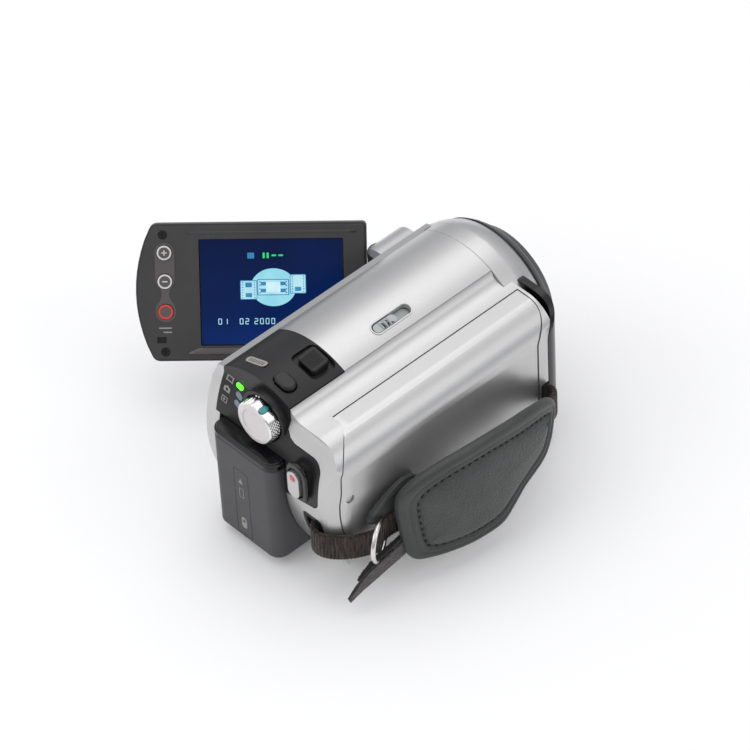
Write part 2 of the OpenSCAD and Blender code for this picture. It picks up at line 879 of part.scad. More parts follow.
module strap_socket() {
    color([0.06, 0.06, 0.06]) difference() {
        intersection() {
            housing(0.2);
            along_y(-70, -50) translate([29, strap_rear_z + 1]) round_rect(9.4, 14.4, 1.9);
        }
        along_y(-70, -52.5) translate([29, strap_rear_z]) round_rect(7.2, web_w + 0.6, 0.8);
        rod_bar();
    }
}

// Steel bar across the rear slot, which the webbing loops round
module rod_bar() {
    translate([30.5, -54, strap_rear_z - 7]) cylinder(h = 14.4, r = 0.8);
}

module strap_bar() {
    color([0.70, 0.70, 0.72]) union() {
        rod_bar();
        translate([38.2, slot_y + 1.3, strap_front_z - 6.4]) cylinder(h = 12.8, r = 0.5);
    }
}

// A band that follows points in plan, each given as [x, y], with its half thickness
function band_normals(p) = [for (i = [0:len(p) - 1])
    let (a = p[max(i - 1, 0)], b = p[min(i + 1, len(p) - 1)], d = (b - a) / norm(b - a)) [-d.y, d.x]];
function band(p, h) = let (n = band_normals(p)) concat(
    [for (i = [0:len(p) - 1]) p[i] + n[i] * h],
    [for (i = [len(p) - 1:-1:0]) p[i] - n[i] * h]);

// Rear webbing in plan: out of the slot, round the corner and back to the ring
rear_web_path = [[28.6, -56.2], [29.4, -58.6], [31.4, -60.2], [34.2, -60.4], [37.4, -59.2], [40.6, -56.6],
                 [43.6, -52.8], [46, -48.4], [47.6, -45]];
front_web_path = [[54.4, 29.6], [52.4, 34.4], [49.6, 38.8], [46.4, 41.8], [43.4, 42.4], [40.6, 41.6], [38.6, 41]];

module rear_webbing() {
    color([0.20, 0.15, 0.12]) translate([0, 0, strap_rear_z - web_w / 2]) linear_extrude(web_w)
        polygon(band(rear_web_path, web_t / 2));
}

module front_webbing() {
    color([0.20, 0.15, 0.12]) translate([0, 0, strap_front_z - web_w / 2]) linear_extrude(web_w)
        polygon(band(front_web_path, web_t / 2));
}

module strap_ring() {
    color([0.85, 0.84, 0.82]) translate([47.6, -45, strap_rear_z]) rotate([0, 0, 30])
        rotate([0, 90, 0]) rotate_extrude($fn = 48) translate([7.4, 0]) circle(r = 0.9, $fn = 24);
}

// Loose end of the webbing behind the ring
module strap_tail() {
    tail = [[0.8, 0], [0.4, -6], [-0.2, -12], [-1.4, -18], [-3, -24]];
    color([0.18, 0.14, 0.13]) translate([51.4, -42.4, strap_rear_z - 2]) rotate([38, 0, 0])
        translate([0, 0, -web_w / 2]) linear_extrude(web_w) polygon(band(tail, web_t / 2));
}

// The hand pad in plan: a shallow bow off the housing's side
module strap_pad() {
    path = [for (i = [-11:8]) [49.4 + (pad_reach - 7) * (1 - pow(i / 10, 2)),
                               pad_mid_y + pad_half_l * i / 10]];
    side = [[-40, 29], [-37.5, 15], [-28, 9.7], [-5, 7.3], [2, 11.4], [7.3, 16.8], [14.8, 21.5],
            [22.9, 23.6], [27.6, 27.6], [28.6, 33], [23, 40], [8, pad_high_z], [-16, pad_high_z],
            [-30, 43], [-39.5, 37]];
    color([0.28, 0.29, 0.28]) intersection() {
        rotate([0, -pad_lean_deg, 0]) translate([2, 0, -10]) linear_extrude(80) polygon(band(path, pad_t / 2));
        along_x(30, 90) polygon(side);
    }
}

module body_screws() {
    color([0.35, 0.35, 0.36]) union() {
        for (x = [-12, 18], y = [-38, 36]) translate([x, y, 0.4]) difference() {
            union() {
                cylinder(h = 1.2, r = 1.5);
                cylinder(h = 6, r = 1.2);
            }
            cube([1.8, 0.5, 0.8], center = true);
            cube([0.5, 1.8, 0.8], center = true);
        }
        rod_x(rivet_at[0], rivet_at[1], 1.5, 36, 40.2);
    }
}

left_shell();
top_cover();
right_shell();
drive_cover();
front_cover();
bottom_plate();
control_panel();
battery_bay();
contact_block();
hinge_housing();
chassis_frame();
lens_barrel();
lens_front_ring();
lens_tube();
front_lens();
zoom_lens();
focus_lens();
image_sensor();
main_board();
hard_drive();
drive_dampers();
speaker();
microphone_grille();
infrared_window();
tripod_bush();
indicator_lights();
mode_dial();
dial_button();
record_button();
record_mark();
photo_button();
zoom_lever();
night_switch();
easy_button();
display_button();
battery_latch();
battery_case();
battery_cap();
hinge_pin();
hinge_block();
tilt_sleeve();
tilt_shaft();
screen_bezel();
screen_back();
screen_glass();
screen_backlight();
wide_button();
tele_button();
screen_record_button();
panel_screws();
strap_socket();
strap_bar();
rear_webbing();
front_webbing();
strap_ring();
strap_tail();
strap_pad();
body_screws();
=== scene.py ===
import json
import math

import bmesh
import bpy
from mathutils import Matrix, Vector, geometry, noise

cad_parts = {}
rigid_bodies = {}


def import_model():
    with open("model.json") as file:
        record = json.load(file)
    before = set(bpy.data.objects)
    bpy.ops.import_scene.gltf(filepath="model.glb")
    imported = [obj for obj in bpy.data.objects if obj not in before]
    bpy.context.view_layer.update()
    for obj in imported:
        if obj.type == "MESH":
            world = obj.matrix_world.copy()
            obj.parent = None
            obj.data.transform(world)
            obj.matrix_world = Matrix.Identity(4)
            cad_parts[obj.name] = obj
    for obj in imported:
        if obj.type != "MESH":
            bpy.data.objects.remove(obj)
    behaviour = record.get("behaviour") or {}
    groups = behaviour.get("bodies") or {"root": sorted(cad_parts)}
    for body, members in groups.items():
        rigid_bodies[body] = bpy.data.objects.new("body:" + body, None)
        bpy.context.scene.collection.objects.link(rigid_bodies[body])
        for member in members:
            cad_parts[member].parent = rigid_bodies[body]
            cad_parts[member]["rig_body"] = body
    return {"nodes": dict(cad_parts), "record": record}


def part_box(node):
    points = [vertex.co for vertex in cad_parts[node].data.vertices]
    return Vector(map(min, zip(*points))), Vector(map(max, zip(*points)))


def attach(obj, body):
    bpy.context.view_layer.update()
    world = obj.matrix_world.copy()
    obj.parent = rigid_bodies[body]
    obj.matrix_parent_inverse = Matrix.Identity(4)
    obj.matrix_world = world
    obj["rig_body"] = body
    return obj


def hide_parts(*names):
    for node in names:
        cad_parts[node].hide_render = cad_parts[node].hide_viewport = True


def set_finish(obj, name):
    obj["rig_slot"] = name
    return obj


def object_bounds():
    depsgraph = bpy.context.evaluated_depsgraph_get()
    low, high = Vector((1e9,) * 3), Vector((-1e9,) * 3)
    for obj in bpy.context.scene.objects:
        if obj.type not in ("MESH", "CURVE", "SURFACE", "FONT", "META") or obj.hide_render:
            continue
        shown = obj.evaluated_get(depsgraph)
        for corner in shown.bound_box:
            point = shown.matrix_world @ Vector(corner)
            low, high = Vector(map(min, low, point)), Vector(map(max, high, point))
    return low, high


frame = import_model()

CAD_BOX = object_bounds()
MM = 0.001
NODES = frame["nodes"]
scene = bpy.context.scene
JOINTS = {j["name"]: j for j in frame["record"]["behaviour"]["joints"]}


def middle(node):
    """The middle of a CAD node's box, in mm."""
    low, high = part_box(node)
    return (low + high) / 2 / MM


# ---------------------------------------------------------------- materials

class Tree:
    """A small helper that adds nodes to a material and links them."""

    def __init__(self, name):
        self.mat = bpy.data.materials.new(name)
        self.mat.use_nodes = True
        self.nt = self.mat.node_tree
        self.nt.nodes.clear()
        self.out = self.add("ShaderNodeOutputMaterial")
        self.bsdf = self.add("ShaderNodeBsdfPrincipled")
        self.link(self.bsdf, "BSDF", self.out, "Surface")
        self.coord = self.add("ShaderNodeTexCoord")

    def add(self, kind, **props):
        n = self.nt.nodes.new(kind)
        for k, v in props.items():
            setattr(n, k, v)
        return n

    def link(self, a, ao, b, bi):
        self.nt.links.new(a.outputs[ao], b.inputs[bi])

    def noise(self, scale, detail=3.0, rough=0.5, stretch=None, source="Object"):
        n = self.add("ShaderNodeTexNoise")
        n.inputs["Scale"].default_value = scale
        n.inputs["Detail"].default_value = detail
        n.inputs["Roughness"].default_value = rough
        self.place(n, stretch, source)
        return n

    def place(self, n, stretch=None, source="Object"):
        if stretch:
            m = self.add("ShaderNodeMapping")
            m.inputs["Scale"].default_value = stretch
            self.link(self.coord, source, m, "Vector")
            self.link(m, "Vector", n, "Vector")
        else:
            self.link(self.coord, source, n, "Vector")

    def ramp(self, source, output, stops):
        r = self.add("ShaderNodeValToRGB")
        el = r.color_ramp.elements
        while len(el) < len(stops):
            el.new(0.5)
        for e, (pos, col) in zip(el, stops):
            e.position = pos
            e.color = (*col, 1) if len(col) == 3 else (col[0], col[0], col[0], 1)
        self.link(source, output, r, "Fac")
        return r

    def bump(self, source, output, strength, distance, after=None):
        b = self.add("ShaderNodeBump")
        b.inputs["Strength"].default_value = strength
        b.inputs["Distance"].default_value = distance
        self.link(source, output, b, "Height")
        if after is not None:
            self.link(after, "Normal", b, "Normal")
        return b

    def set(self, **values):
        for k, v in values.items():
            self.bsdf.inputs[k.replace("_", " ")].default_value = v


def grained(name, dark, light, rough, grain=1500.0, bump=0.15, depth=0.00006, mottle=60.0, spread=0.05,
            metallic=0.0, coat=0.0, specular=0.5, detail=3.0):
    """Moulded plastic or paint: slow mottling of the colour, fine grain in the surface, uneven gloss."""
    t = Tree(name)
    slow = t.noise(mottle, 4.0)
    colour = t.ramp(slow, "Fac", [(0.3, dark), (0.7, light)])
    t.link(colour, "Color", t.bsdf, "Base Color")
    fine = t.noise(grain, detail, 0.6)
    gloss = t.ramp(fine, "Fac", [(0.25, (max(rough - spread, 0.02),)), (0.75, (rough + spread,))])
    t.link(gloss, "Color", t.bsdf, "Roughness")
    b = t.bump(fine, "Fac", bump, depth)
    t.link(b, "Normal", t.bsdf, "Normal")
    t.set(Metallic=metallic, Coat_Weight=coat, Coat_Roughness=0.12, Specular_IOR_Level=specular)
    return t.mat


def silver_paint():
    """Satin metallic paint: bright flakes in two sizes under a thin coat."""
    t = Tree("silver_paint")
    slow = t.noise(25.0, 3.0)
    flakes = t.add("ShaderNodeTexVoronoi")
    flakes.inputs["Scale"].default_value = 5200.0
    t.place(flakes)
    mix = t.add("ShaderNodeMix", data_type="RGBA")
    mix.inputs["Factor"].default_value = 0.5
    a = t.ramp(slow, "Fac", [(0.3, (0.575, 0.572, 0.570)), (0.7, (0.61, 0.605, 0.60))])
    b = t.ramp(flakes, "Distance", [(0.0, (0.72, 0.715, 0.71)), (0.6, (0.50, 0.50, 0.50))])
    t.link(a, "Color", mix, "A")
    t.link(b, "Color", mix, "B")
    t.link(mix, "Result", t.bsdf, "Base Color")
    fine = t.noise(2600.0, 2.0)
    gloss = t.ramp(fine, "Fac", [(0.3, (0.30,)), (0.7, (0.40,))])
    t.link(gloss, "Color", t.bsdf, "Roughness")
    bump = t.bump(fine, "Fac", 0.10, 0.00004)
    t.link(bump, "Normal", t.bsdf, "Normal")
    t.set(Metallic=0.82, Coat_Weight=0.25, Coat_Roughness=0.25)
    return t.mat


def polished(name, dark, light, rough, brush=None, metallic=1.0):
    """Plated or turned metal, with faint tool marks and fingerprints in the gloss."""
    t = Tree(name)
    slow = t.noise(90.0, 4.0)
    colour = t.ramp(slow, "Fac", [(0.3, dark), (0.7, light)])
    t.link(colour, "Color", t.bsdf, "Base Color")
    marks = t.noise(900.0, 3.0, 0.6, brush)
    gloss = t.ramp(marks, "Fac", [(0.3, (rough * 0.7,)), (0.75, (rough * 1.4,))])
    t.link(gloss, "Color", t.bsdf, "Roughness")
    b = t.bump(marks, "Fac", 0.05, 0.00003)
    t.link(b, "Normal", t.bsdf, "Normal")
    t.set(Metallic=metallic)
    return t.mat


def leather(name, dark, light, grain, rough):
    """Soft coated leather: pebbled grain, fine creases, a greenish grey sheen."""
    t = Tree(name)
    slow = t.noise(70.0, 4.0)
    cells = t.add("ShaderNodeTexVoronoi", feature="SMOOTH_F1")
    cells.inputs["Scale"].default_value = 1700.0
    t.place(cells)
    mix = t.add("ShaderNodeMath", operation="MULTIPLY_ADD")
    mix.inputs[1].default_value = 0.5
    t.link(cells, "Distance", mix, 0)
    t.link(slow, "Fac", mix, 2)
    colour = t.ramp(mix, "Value", [(0.35, dark), (0.95, light)])
    t.link(colour, "Color", t.bsdf, "Base Color")
    creases = t.noise(420.0, 5.0, 0.65)
    gloss = t.ramp(cells, "Distance", [(0.1, (rough - 0.10,)), (0.7, (rough + 0.10,))])
    t.link(gloss, "Color", t.bsdf, "Roughness")
    a = t.bump(creases, "Fac", 0.25, 0.0003)
    b = t.bump(cells, "Distance", grain, 0.00035, a)
    t.link(b, "Normal", t.bsdf, "Normal")
    t.set(Specular_IOR_Level=0.45, Sheen_Weight=0.12, Sheen_Roughness=0.45)
    return t.mat


def woven(name, dark, light, scale=1300.0, fuzz=0.5, stretch=(1, 1, 0.12)):
    """Nylon webbing: yarns that run across the strap, specks of light thread, a fuzzy sheen."""
    t = Tree(name)
    yarn = t.noise(scale, 2.0, 0.5, stretch)
    speck = t.noise(scale * 1.3, 4.0, 0.7)
    mixed = t.add("ShaderNodeMath", operation="MULTIPLY")
    t.link(yarn, "Fac", mixed, 0)
    t.link(speck, "Fac", mixed, 1)
    colour = t.ramp(mixed, "Value", [(0.18, dark), (0.42, light)])
    t.link(colour, "Color", t.bsdf, "Base Color")
    b = t.bump(mixed, "Value", 0.9, 0.0005)
    t.link(b, "Normal", t.bsdf, "Normal")
    t.set(Roughness=0.75, Sheen_Weight=fuzz, Sheen_Roughness=0.4, Specular_IOR_Level=0.3)
    return t.mat


def lit(name, colour, strength, edge=None):
    """A lit surface: it glows a little unevenly, as a back-lit film does."""
    t = Tree(name)
    slow = t.noise(160.0, 3.0)
    low = edge or tuple(c * 0.8 for c in colour)
    glow = t.ramp(slow, "Fac", [(0.3, low), (0.7, colour)])
    t.link(glow, "Color", t.bsdf, "Emission Color")
    t.set(Base_Color=(0.01, 0.01, 0.01, 1), Emission_Strength=strength, Roughness=0.35,
          Specular_IOR_Level=0.2)
    return t.mat


def glass(name, tint, rough=0.03):
    t = Tree(name)
    streak = t.noise(60.0, 3.0)
    gloss = t.ramp(streak, "Fac", [(0.3, (rough,)), (0.8, (rough * 2,))])
    t.link(gloss, "Color", t.bsdf, "Roughness")
    t.set(Base_Color=(*tint, 1), Transmission_Weight=0.75, IOR=1.5, Coat_Weight=1.0, Coat_Roughness=0.02)
    return t.mat


SILVER = silver_paint()
CHARCOAL = grained("charcoal_plastic", (0.050, 0.048, 0.049), (0.059, 0.057, 0.058), 0.50, 2400, 0.22,
                   0.00006, specular=0.35)
PAD_GREY = grained("key_field_plastic", (0.095, 0.083, 0.083), (0.108, 0.096, 0.096), 0.45, 2400, 0.15)
BATTERY = grained("battery_plastic", (0.066, 0.066, 0.072), (0.078, 0.078, 0.084), 0.52, 1900, 0.35, 0.00008,
                  specular=0.35)
BLACK = grained("black_plastic", (0.010, 0.010, 0.011), (0.017, 0.017, 0.018), 0.42, 2000, 0.2, specular=0.3)
PANEL_BLACK = grained("control_black", (0.015, 0.015, 0.016), (0.021, 0.021, 0.022), 0.36, 2600, 0.12,
                      specular=0.28)
GLOSS = grained("gloss_black", (0.005, 0.005, 0.006), (0.009, 0.009, 0.010), 0.17, 1200, 0.03, spread=0.04,
                specular=0.35, coat=0.08)
STEEL = polished("plain_steel", (0.52, 0.52, 0.53), (0.62, 0.62, 0.63), 0.32)
CHROME = polished("bright_plating", (0.80, 0.79, 0.78), (0.88, 0.87, 0.86), 0.17)
RING = polished("ring_plating", (0.66, 0.63, 0.60), (0.78, 0.76, 0.73), 0.17)
BRASS = polished("turned_brass", (0.62, 0.47, 0.20), (0.74, 0.58, 0.30), 0.25, (1, 1, 14))
FACE = grained("dial_face", (0.72, 0.68, 0.68), (0.78, 0.74, 0.74), 0.36, 2200, 0.10, metallic=0.15)
TEAL = grained("teal_key", (0.0, 0.26, 0.25), (0.0, 0.33, 0.31), 0.25, 1500, 0.05, coat=0.5)
RED = grained("red_mark", (0.62, 0.035, 0.022), (0.74, 0.055, 0.035), 0.28, 1500, 0.05, coat=0.4)
WHITE = grained("white_print", (0.62, 0.62, 0.60), (0.72, 0.72, 0.70), 0.55, 1800, 0.08)
PRINT = grained("grey_print", (0.26, 0.25, 0.235), (0.34, 0.33, 0.31), 0.55, 1800, 0.08)
SLIDER = grained("grey_slider", (0.42, 0.45, 0.44), (0.48, 0.51, 0.50), 0.45, 1800, 0.15)
BOARD = grained("circuit_board", (0.02, 0.12, 0.05), (0.03, 0.16, 0.07), 0.40, 700, 0.2)
RUBBER = grained("damper_rubber", (0.012, 0.012, 0.012), (0.022, 0.022, 0.022), 0.75, 1400, 0.4)
WINDOW = grained("dark_window", (0.02, 0.002, 0.004), (0.03, 0.004, 0.006), 0.08, 900, 0.02, coat=1.0)
LEATHER = leather("pad_leather", (0.030, 0.036, 0.034), (0.058, 0.066, 0.062), 0.95, 0.44)
BINDING = leather("pad_binding", (0.026, 0.028, 0.028), (0.044, 0.046, 0.045), 0.30, 0.42)
WEBBING = woven("brown_webbing", (0.006, 0.004, 0.003), (0.090, 0.060, 0.044), 1500.0, 0.25)
HOOK = woven("hook_and_loop", (0.010, 0.007, 0.008), (0.085, 0.062, 0.064), 1800.0, 0.5, (1, 0.2, 1))
THREAD = woven("stitch_thread", (0.006, 0.006, 0.006), (0.022, 0.022, 0.022), 4000.0, 0.3)
GREEN_LIT = lit("green_light", (0.10, 1.0, 0.02), 2.2)
BLUE_OFF = grained("light_unlit", (0.13, 0.18, 0.24), (0.18, 0.23, 0.29), 0.22, 900, 0.05, coat=0.5)
LENS = glass("coated_glass", (0.55, 0.50, 0.78))


def paint(node, material):
    """Gives a CAD node a material through its object's own slots."""
    o = NODES[node]
    for s in o.material_slots:
        s.link = "OBJECT"
        s.material = material


# ---------------------------------------------------------------- mesh helpers

def smooth_group():
    """Geometry nodes that weld a mesh and shade it smooth except across real edges."""
    g = bpy.data.node_groups.new("weld_and_smooth", "GeometryNodeTree")
    g.interface.new_socket("Geometry", in_out="INPUT", socket_type="NodeSocketGeometry")
    g.interface.new_socket("Geometry", in_out="OUTPUT", socket_type="NodeSocketGeometry")
    gin = g.nodes.new("NodeGroupInput")
    gout = g.nodes.new("NodeGroupOutput")
    weld = g.nodes.new("GeometryNodeMergeByDistance")
    weld.inputs["Distance"].default_value = 0.000004
    smooth = g.nodes.new("GeometryNodeSetShadeSmooth")
    smooth.domain = "FACE"
    sharp = g.nodes.new("GeometryNodeSetShadeSmooth")
    sharp.domain = "EDGE"
    sharp.inputs["Shade Smooth"].default_value = False
    angle = g.nodes.new("GeometryNodeInputMeshEdgeAngle")
    over = g.nodes.new("FunctionNodeCompare")
    over.data_type = "FLOAT"
    over.operation = "GREATER_THAN"
    over.inputs[1].default_value = math.radians(38)
    link = g.links.new
    link(gin.outputs[0], weld.inputs["Geometry"])
    link(weld.outputs[0], smooth.inputs["Geometry"])
    link(smooth.outputs[0], sharp.inputs["Geometry"])
    link(angle.outputs["Unsigned Angle"], over.inputs[0])
    link(over.outputs[0], sharp.inputs["Selection"])
    link(sharp.outputs[0], gout.inputs[0])
    return g


SMOOTH = smooth_group()


def shade(o, name="smooth"):
    """Welds an object's mesh and shades it smooth except across real edges."""
    m = o.modifiers.new(name, "NODES")
    m.node_group = SMOOTH


def weigh_normals(o):
    """Keeps large flat faces flat in the shading next to small rounded ones."""
    w = o.modifiers.new("normals", "WEIGHTED_NORMAL")
    w.keep_sharp = True
    w.weight = 60


def loft(rings, size, start=0, wrap=False):
    """Four-sided faces between neighbouring rings of points, the last ring back to the first if wrap."""
    faces = []
    for k in range(rings if wrap else rings - 1):
        low = start + k * size
        high = start + (k + 1) % rings * size
        for i in range(size):
            j = (i + 1) % size
            faces.append((low + i, low + j, high + j, high + i))
    return faces


def soften(o, width, segments):
    """Rounds the edges of an object by width mm and shades it smooth."""
    shade(o, "weld")
    d = o.modifiers.new("flat", "DECIMATE")
    d.decimate_type = "DISSOLVE"
    d.angle_limit = math.radians(0.4)
    if width > 0:
        b = o.modifiers.new("edges", "BEVEL")
        b.width = width * MM
        b.segments = segments
        b.limit_method = "ANGLE"
        b.angle_limit = math.radians(32)
        b.use_clamp_overlap = True
        b.harden_normals = False
    shade(o)
    weigh_normals(o)


def piece(name, verts, faces, material, body, slot, smooth=True, matrix=None):
    """A mesh object from points in mm."""
    me = bpy.data.meshes.new(name)
    pts = [Vector(v) * MM for v in verts]
    if matrix is not None:
        pts = [matrix @ p for p in pts]
    me.from_pydata(pts, [], faces)
    me.validate()
    bm = bmesh.new()
    bm.from_mesh(me)
    bmesh.ops.remove_doubles(bm, verts=bm.verts, dist=1e-6)
    bmesh.ops.recalc_face_normals(bm, faces=bm.faces)
    bm.to_mesh(me)
    bm.free()
    for p in me.polygons:
        p.use_smooth = smooth
    o = bpy.data.objects.new(name, me)
    scene.collection.objects.link(o)
    o.data.materials.append(material)
    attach(o, body)
    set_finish(o, slot)
    return o


def smoothed(points, steps=6, closed=True):
    """A Catmull-Rom curve through points of any dimension."""
    n = len(points)
    out = []
    spans = n if closed else n - 1
    for i in range(spans):
        p = []
        for k in (-1, 0, 1, 2):
            j = i + k
            p.append(points[j % n] if closed else points[min(max(j, 0), n - 1)])
        for s in range(steps):
            t = s / steps
            out.append(tuple(
                0.5 * (2 * b + (c - a) * t + (2 * a - 5 * b + 4 * c - d) * t * t
                       + (3 * b - a - 3 * c + d) * t ** 3)
                for a, b, c, d in zip(*p)))
    if not closed:
        out.append(tuple(points[-1]))
    return out


def round_rect(w, h, r, cx=0.0, cy=0.0, steps=6):
    pts = []
    for sx, sy, a in ((1, 1, 0), (-1, 1, 90), (-1, -1, 180), (1, -1, 270)):
        for i in range(steps + 1):
            b = math.radians(a + 90 * i / steps)
            pts.append((cx + sx * (w / 2 - r) + r * math.cos(b), cy + sy * (h / 2 - r) + r * math.sin(b)))
    return pts


def circle(r, cx=0.0, cy=0.0, steps=48, squash=1.0):
    return [(cx + r * math.cos(math.tau * i / steps), cy + squash * r * math.sin(math.tau * i / steps))
            for i in range(steps)]


def plate(name, outlines, low, high, edge, material, body, slot, matrix=None, turn=2):
    """A plate from low to high mm with rounded edges: its border first, then its holes."""
    cu = bpy.data.curves.new(name, "CURVE")
    cu.dimensions = "2D"
    cu.fill_mode = "BOTH"
    cu.extrude = ((high - low) / 2 - edge) * MM
    cu.bevel_depth = edge * MM
    cu.bevel_resolution = turn
    cu.offset = -edge * MM
    for pts in outlines:
        sp = cu.splines.new("POLY")
        sp.points.add(len(pts) - 1)
        for p, q in zip(sp.points, pts):
            p.co = (q[0] * MM, q[1] * MM, 0, 1)
        sp.use_cyclic_u = True
    tmp = bpy.data.objects.new(name + "_curve", cu)
    scene.collection.objects.link(tmp)
    bpy.context.view_layer.update()
    me = bpy.data.meshes.new_from_object(tmp.evaluated_get(bpy.context.evaluated_depsgraph_get()))
    bpy.data.objects.remove(tmp)
    bpy.data.curves.remove(cu)
    me.name = name
    bm = bmesh.new()
    bm.from_mesh(me)
    bmesh.ops.remove_doubles(bm, verts=bm.verts, dist=2e-6)
    bmesh.ops.dissolve_limit(bm, angle_limit=math.radians(0.5), verts=bm.verts, edges=bm.edges)
    mid = (high + low) / 2 * MM
    for v in bm.verts:
        v.co.z += mid
    if matrix is not None:
        bm.transform(matrix)
    bmesh.ops.recalc_face_normals(bm, faces=bm.faces)
    bm.to_mesh(me)
    bm.free()
    for p in me.polygons:
        p.use_smooth = True
    o = bpy.data.objects.new(name, me)
    scene.collection.objects.link(o)
    o.data.materials.clear()
    o.data.materials.append(material)
    shade(o)
    weigh_normals(o)
    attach(o, body)
    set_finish(o, slot)
    return o


def join(name, parts):
    """Joins meshes that share a material into one piece."""
    bm = bmesh.new()
    for o in parts:
        bm.from_mesh(o.data)
    me = bpy.data.meshes.new(name)
    bm.to_mesh(me)
    bm.free()
    for p in me.polygons:
        p.use_smooth = True
    first = parts[0]
    me.materials.append(first.data.materials[0])
    o = bpy.data.objects.new(name, me)
    scene.collection.objects.link(o)
    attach(o, first["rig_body"])
    if first.get("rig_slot"):
        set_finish(o, first["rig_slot"])
    if first.modifiers:
        shade(o)
    for p in parts:
        bpy.data.objects.remove(p)
    return o


# ---------------------------------------------------------------- the body's own numbers, in mm

LENS_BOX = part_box("lens_barrel")
AXIS_Z = middle("lens_barrel").z
ARCH_R = (LENS_BOX[1].z - LENS_BOX[0].z) / 2 / MM
HINGE = Vector(JOINTS["screen_open"]["pos_m"]) / MM
# At rest the panel stands this far from its shut, level place
OPEN = -math.radians(JOINTS["screen_open"]["range_deg"][0])
TILT = -math.radians(JOINTS["screen_level"]["range_deg"][0])
# The curved back is part of a cylinder along X
BACK_R, BACK_Y, BACK_Z = 58.0, -0.7, 38.0
# The pad's middle surface bows out and leans in towards the top
PAD_OUT, PAD_CROWN, PAD_MIDDLE, PAD_REACH, PAD_LEAN = 51.4, 8.0, 0.5, 37.5, math.radians(6)
PANEL = (Matrix.Translation(HINGE * MM) @ Matrix.Rotation(-math.pi / 2 - OPEN, 4, "Z")
         @ Matrix.Rotation(TILT, 4, "X"))
# Plates are drawn in X and Y and rise along Z; on the panel X runs outwards, Y up and Z out of the screen
PANEL_FACE = PANEL @ Matrix(((1, 0, 0, 0), (0, 0, 1, 0), (0, 1, 0, 0), (0, 0, 0, 1)))
# Seen from behind: X to the right, Y up, Z towards the rear
BACK_FACE = Matrix(((1, 0, 0, 0), (0, 0, -1, 0), (0, 1, 0, 0), (0, 0, 0, 1)))


def turned(degrees, axis):
    return Matrix.Rotation(math.radians(degrees), 4, axis)


def on_arch(x, y):
    """A frame on the arched top at x, y: its Z points straight out of the surface."""
    lean = math.asin(x / ARCH_R)
    return (Matrix.Translation(Vector((0, y, AXIS_Z)) * MM) @ Matrix.Rotation(lean, 4, "Y")
            @ Matrix.Translation(Vector((0, 0, ARCH_R)) * MM))


# ---------------------------------------------------------------- CAD nodes that keep their shape

LOOK = {
    "left_shell": (SILVER, 0.5), "top_cover": (SILVER, 0.3), "right_shell": (SILVER, 0.5),
    "drive_cover": (SILVER, 0.3), "hinge_housing": (SILVER, 0.9), "lens_barrel": (SILVER, 0.3),
    "front_cover": (GLOSS, 0.5), "bottom_plate": (BLACK, 0.3), "control_panel": (PANEL_BLACK, 0.3),
    "battery_bay": (BLACK, 0.3), "contact_block": (BLACK, 0.25), "chassis_frame": (STEEL, 0.15),
    "lens_front_ring": (BLACK, 0.3), "lens_tube": (BLACK, 0.2), "front_lens": (LENS, 0.0),
    "zoom_lens": (LENS, 0.15), "focus_lens": (LENS, 0.15), "image_sensor": (BOARD, 0.15),
    "main_board": (BOARD, 0.15), "hard_drive": (STEEL, 0.3), "drive_dampers": (RUBBER, 0.3),
    "speaker": (BLACK, 0.15), "microphone_grille": (BLACK, 0.1), "infrared_window": (WINDOW, 0.15),
    "tripod_bush": (BRASS, 0.3), "indicator_lights": (BLUE_OFF, 0.15), "record_mark": (RED, 0.05),
    "easy_button": (BLACK, 0.3), "display_button": (BLACK, 0.3), "battery_latch": (BLACK, 0.1),
    "battery_case": (BATTERY, 0.5), "battery_cap": (GLOSS, 0.5), "hinge_pin": (STEEL, 0.1),
    "hinge_block": (BLACK, 0.3), "tilt_sleeve": (STEEL, 0.1), "tilt_shaft": (STEEL, 0.1),
    "screen_bezel": (CHARCOAL, 0.4), "screen_back": (SILVER, 0.5), "screen_backlight": (WHITE, 0.1),
    "panel_screws": (BLACK, 0.1), "strap_socket": (BLACK, 0.3), "strap_bar": (STEEL, 0.1),
    "strap_ring": (RING, 0.0), "body_screws": (STEEL, 0.1), "photo_button": (GLOSS, 0.8),
    "zoom_lever": (BLACK, 0.6), "night_switch": (SLIDER, 0.15), "record_button": (SILVER, 0.7),
    "mode_dial": (CHROME, 0.3), "dial_button": (TEAL, 0.3), "screen_glass": (GLOSS, 0.1),
    "wide_button": (PAD_GREY, 0.2), "tele_button": (PAD_GREY, 0.2), "screen_record_button": (PAD_GREY, 0.2),
    "rear_webbing": (WEBBING, 0.2), "front_webbing": (WEBBING, 0.2), "strap_tail": (HOOK, 0.2),
    "strap_pad": (LEATHER, 0.8),
}
for node, (material, edge) in LOOK.items():
    paint(node, material)
    soften(NODES[node], edge, 3 if edge >= 0.5 else 2)


def on_back(x, z):
    """A frame on the curved back at x, z: X to the right, Y up the surface, Z out of it."""
    a = math.asin((z - BACK_Z) / BACK_R)
    m = Matrix(((1, 0, 0), (0, math.sin(a), -math.cos(a)), (0, math.cos(a), math.sin(a)))).to_4x4()
    m.translation = Vector((x, BACK_Y - BACK_R * math.cos(a), z)) * MM
    return m


# ---------------------------------------------------------------- strap: pad, webbing, stitches

def pad_x(y, z):
    bow = PAD_CROWN * (1 - ((y - PAD_MIDDLE) / PAD_REACH) ** 2)
    return (PAD_OUT + bow) / math.cos(PAD_LEAN) - z * math.tan(PAD_LEAN)


def pad_point(y, z, h):
    """A point h mm outside the pad's middle surface."""
    e = 0.1
    dy = (pad_x(y + e, z) - pad_x(y - e, z)) / (2 * e)
    dz = (pad_x(y, z + e) - pad_x(y, z - e)) / (2 * e)
    n = Vector((1, -dy, -dz)).normalized()
    return Vector((pad_x(y, z), y, z)) + n * h


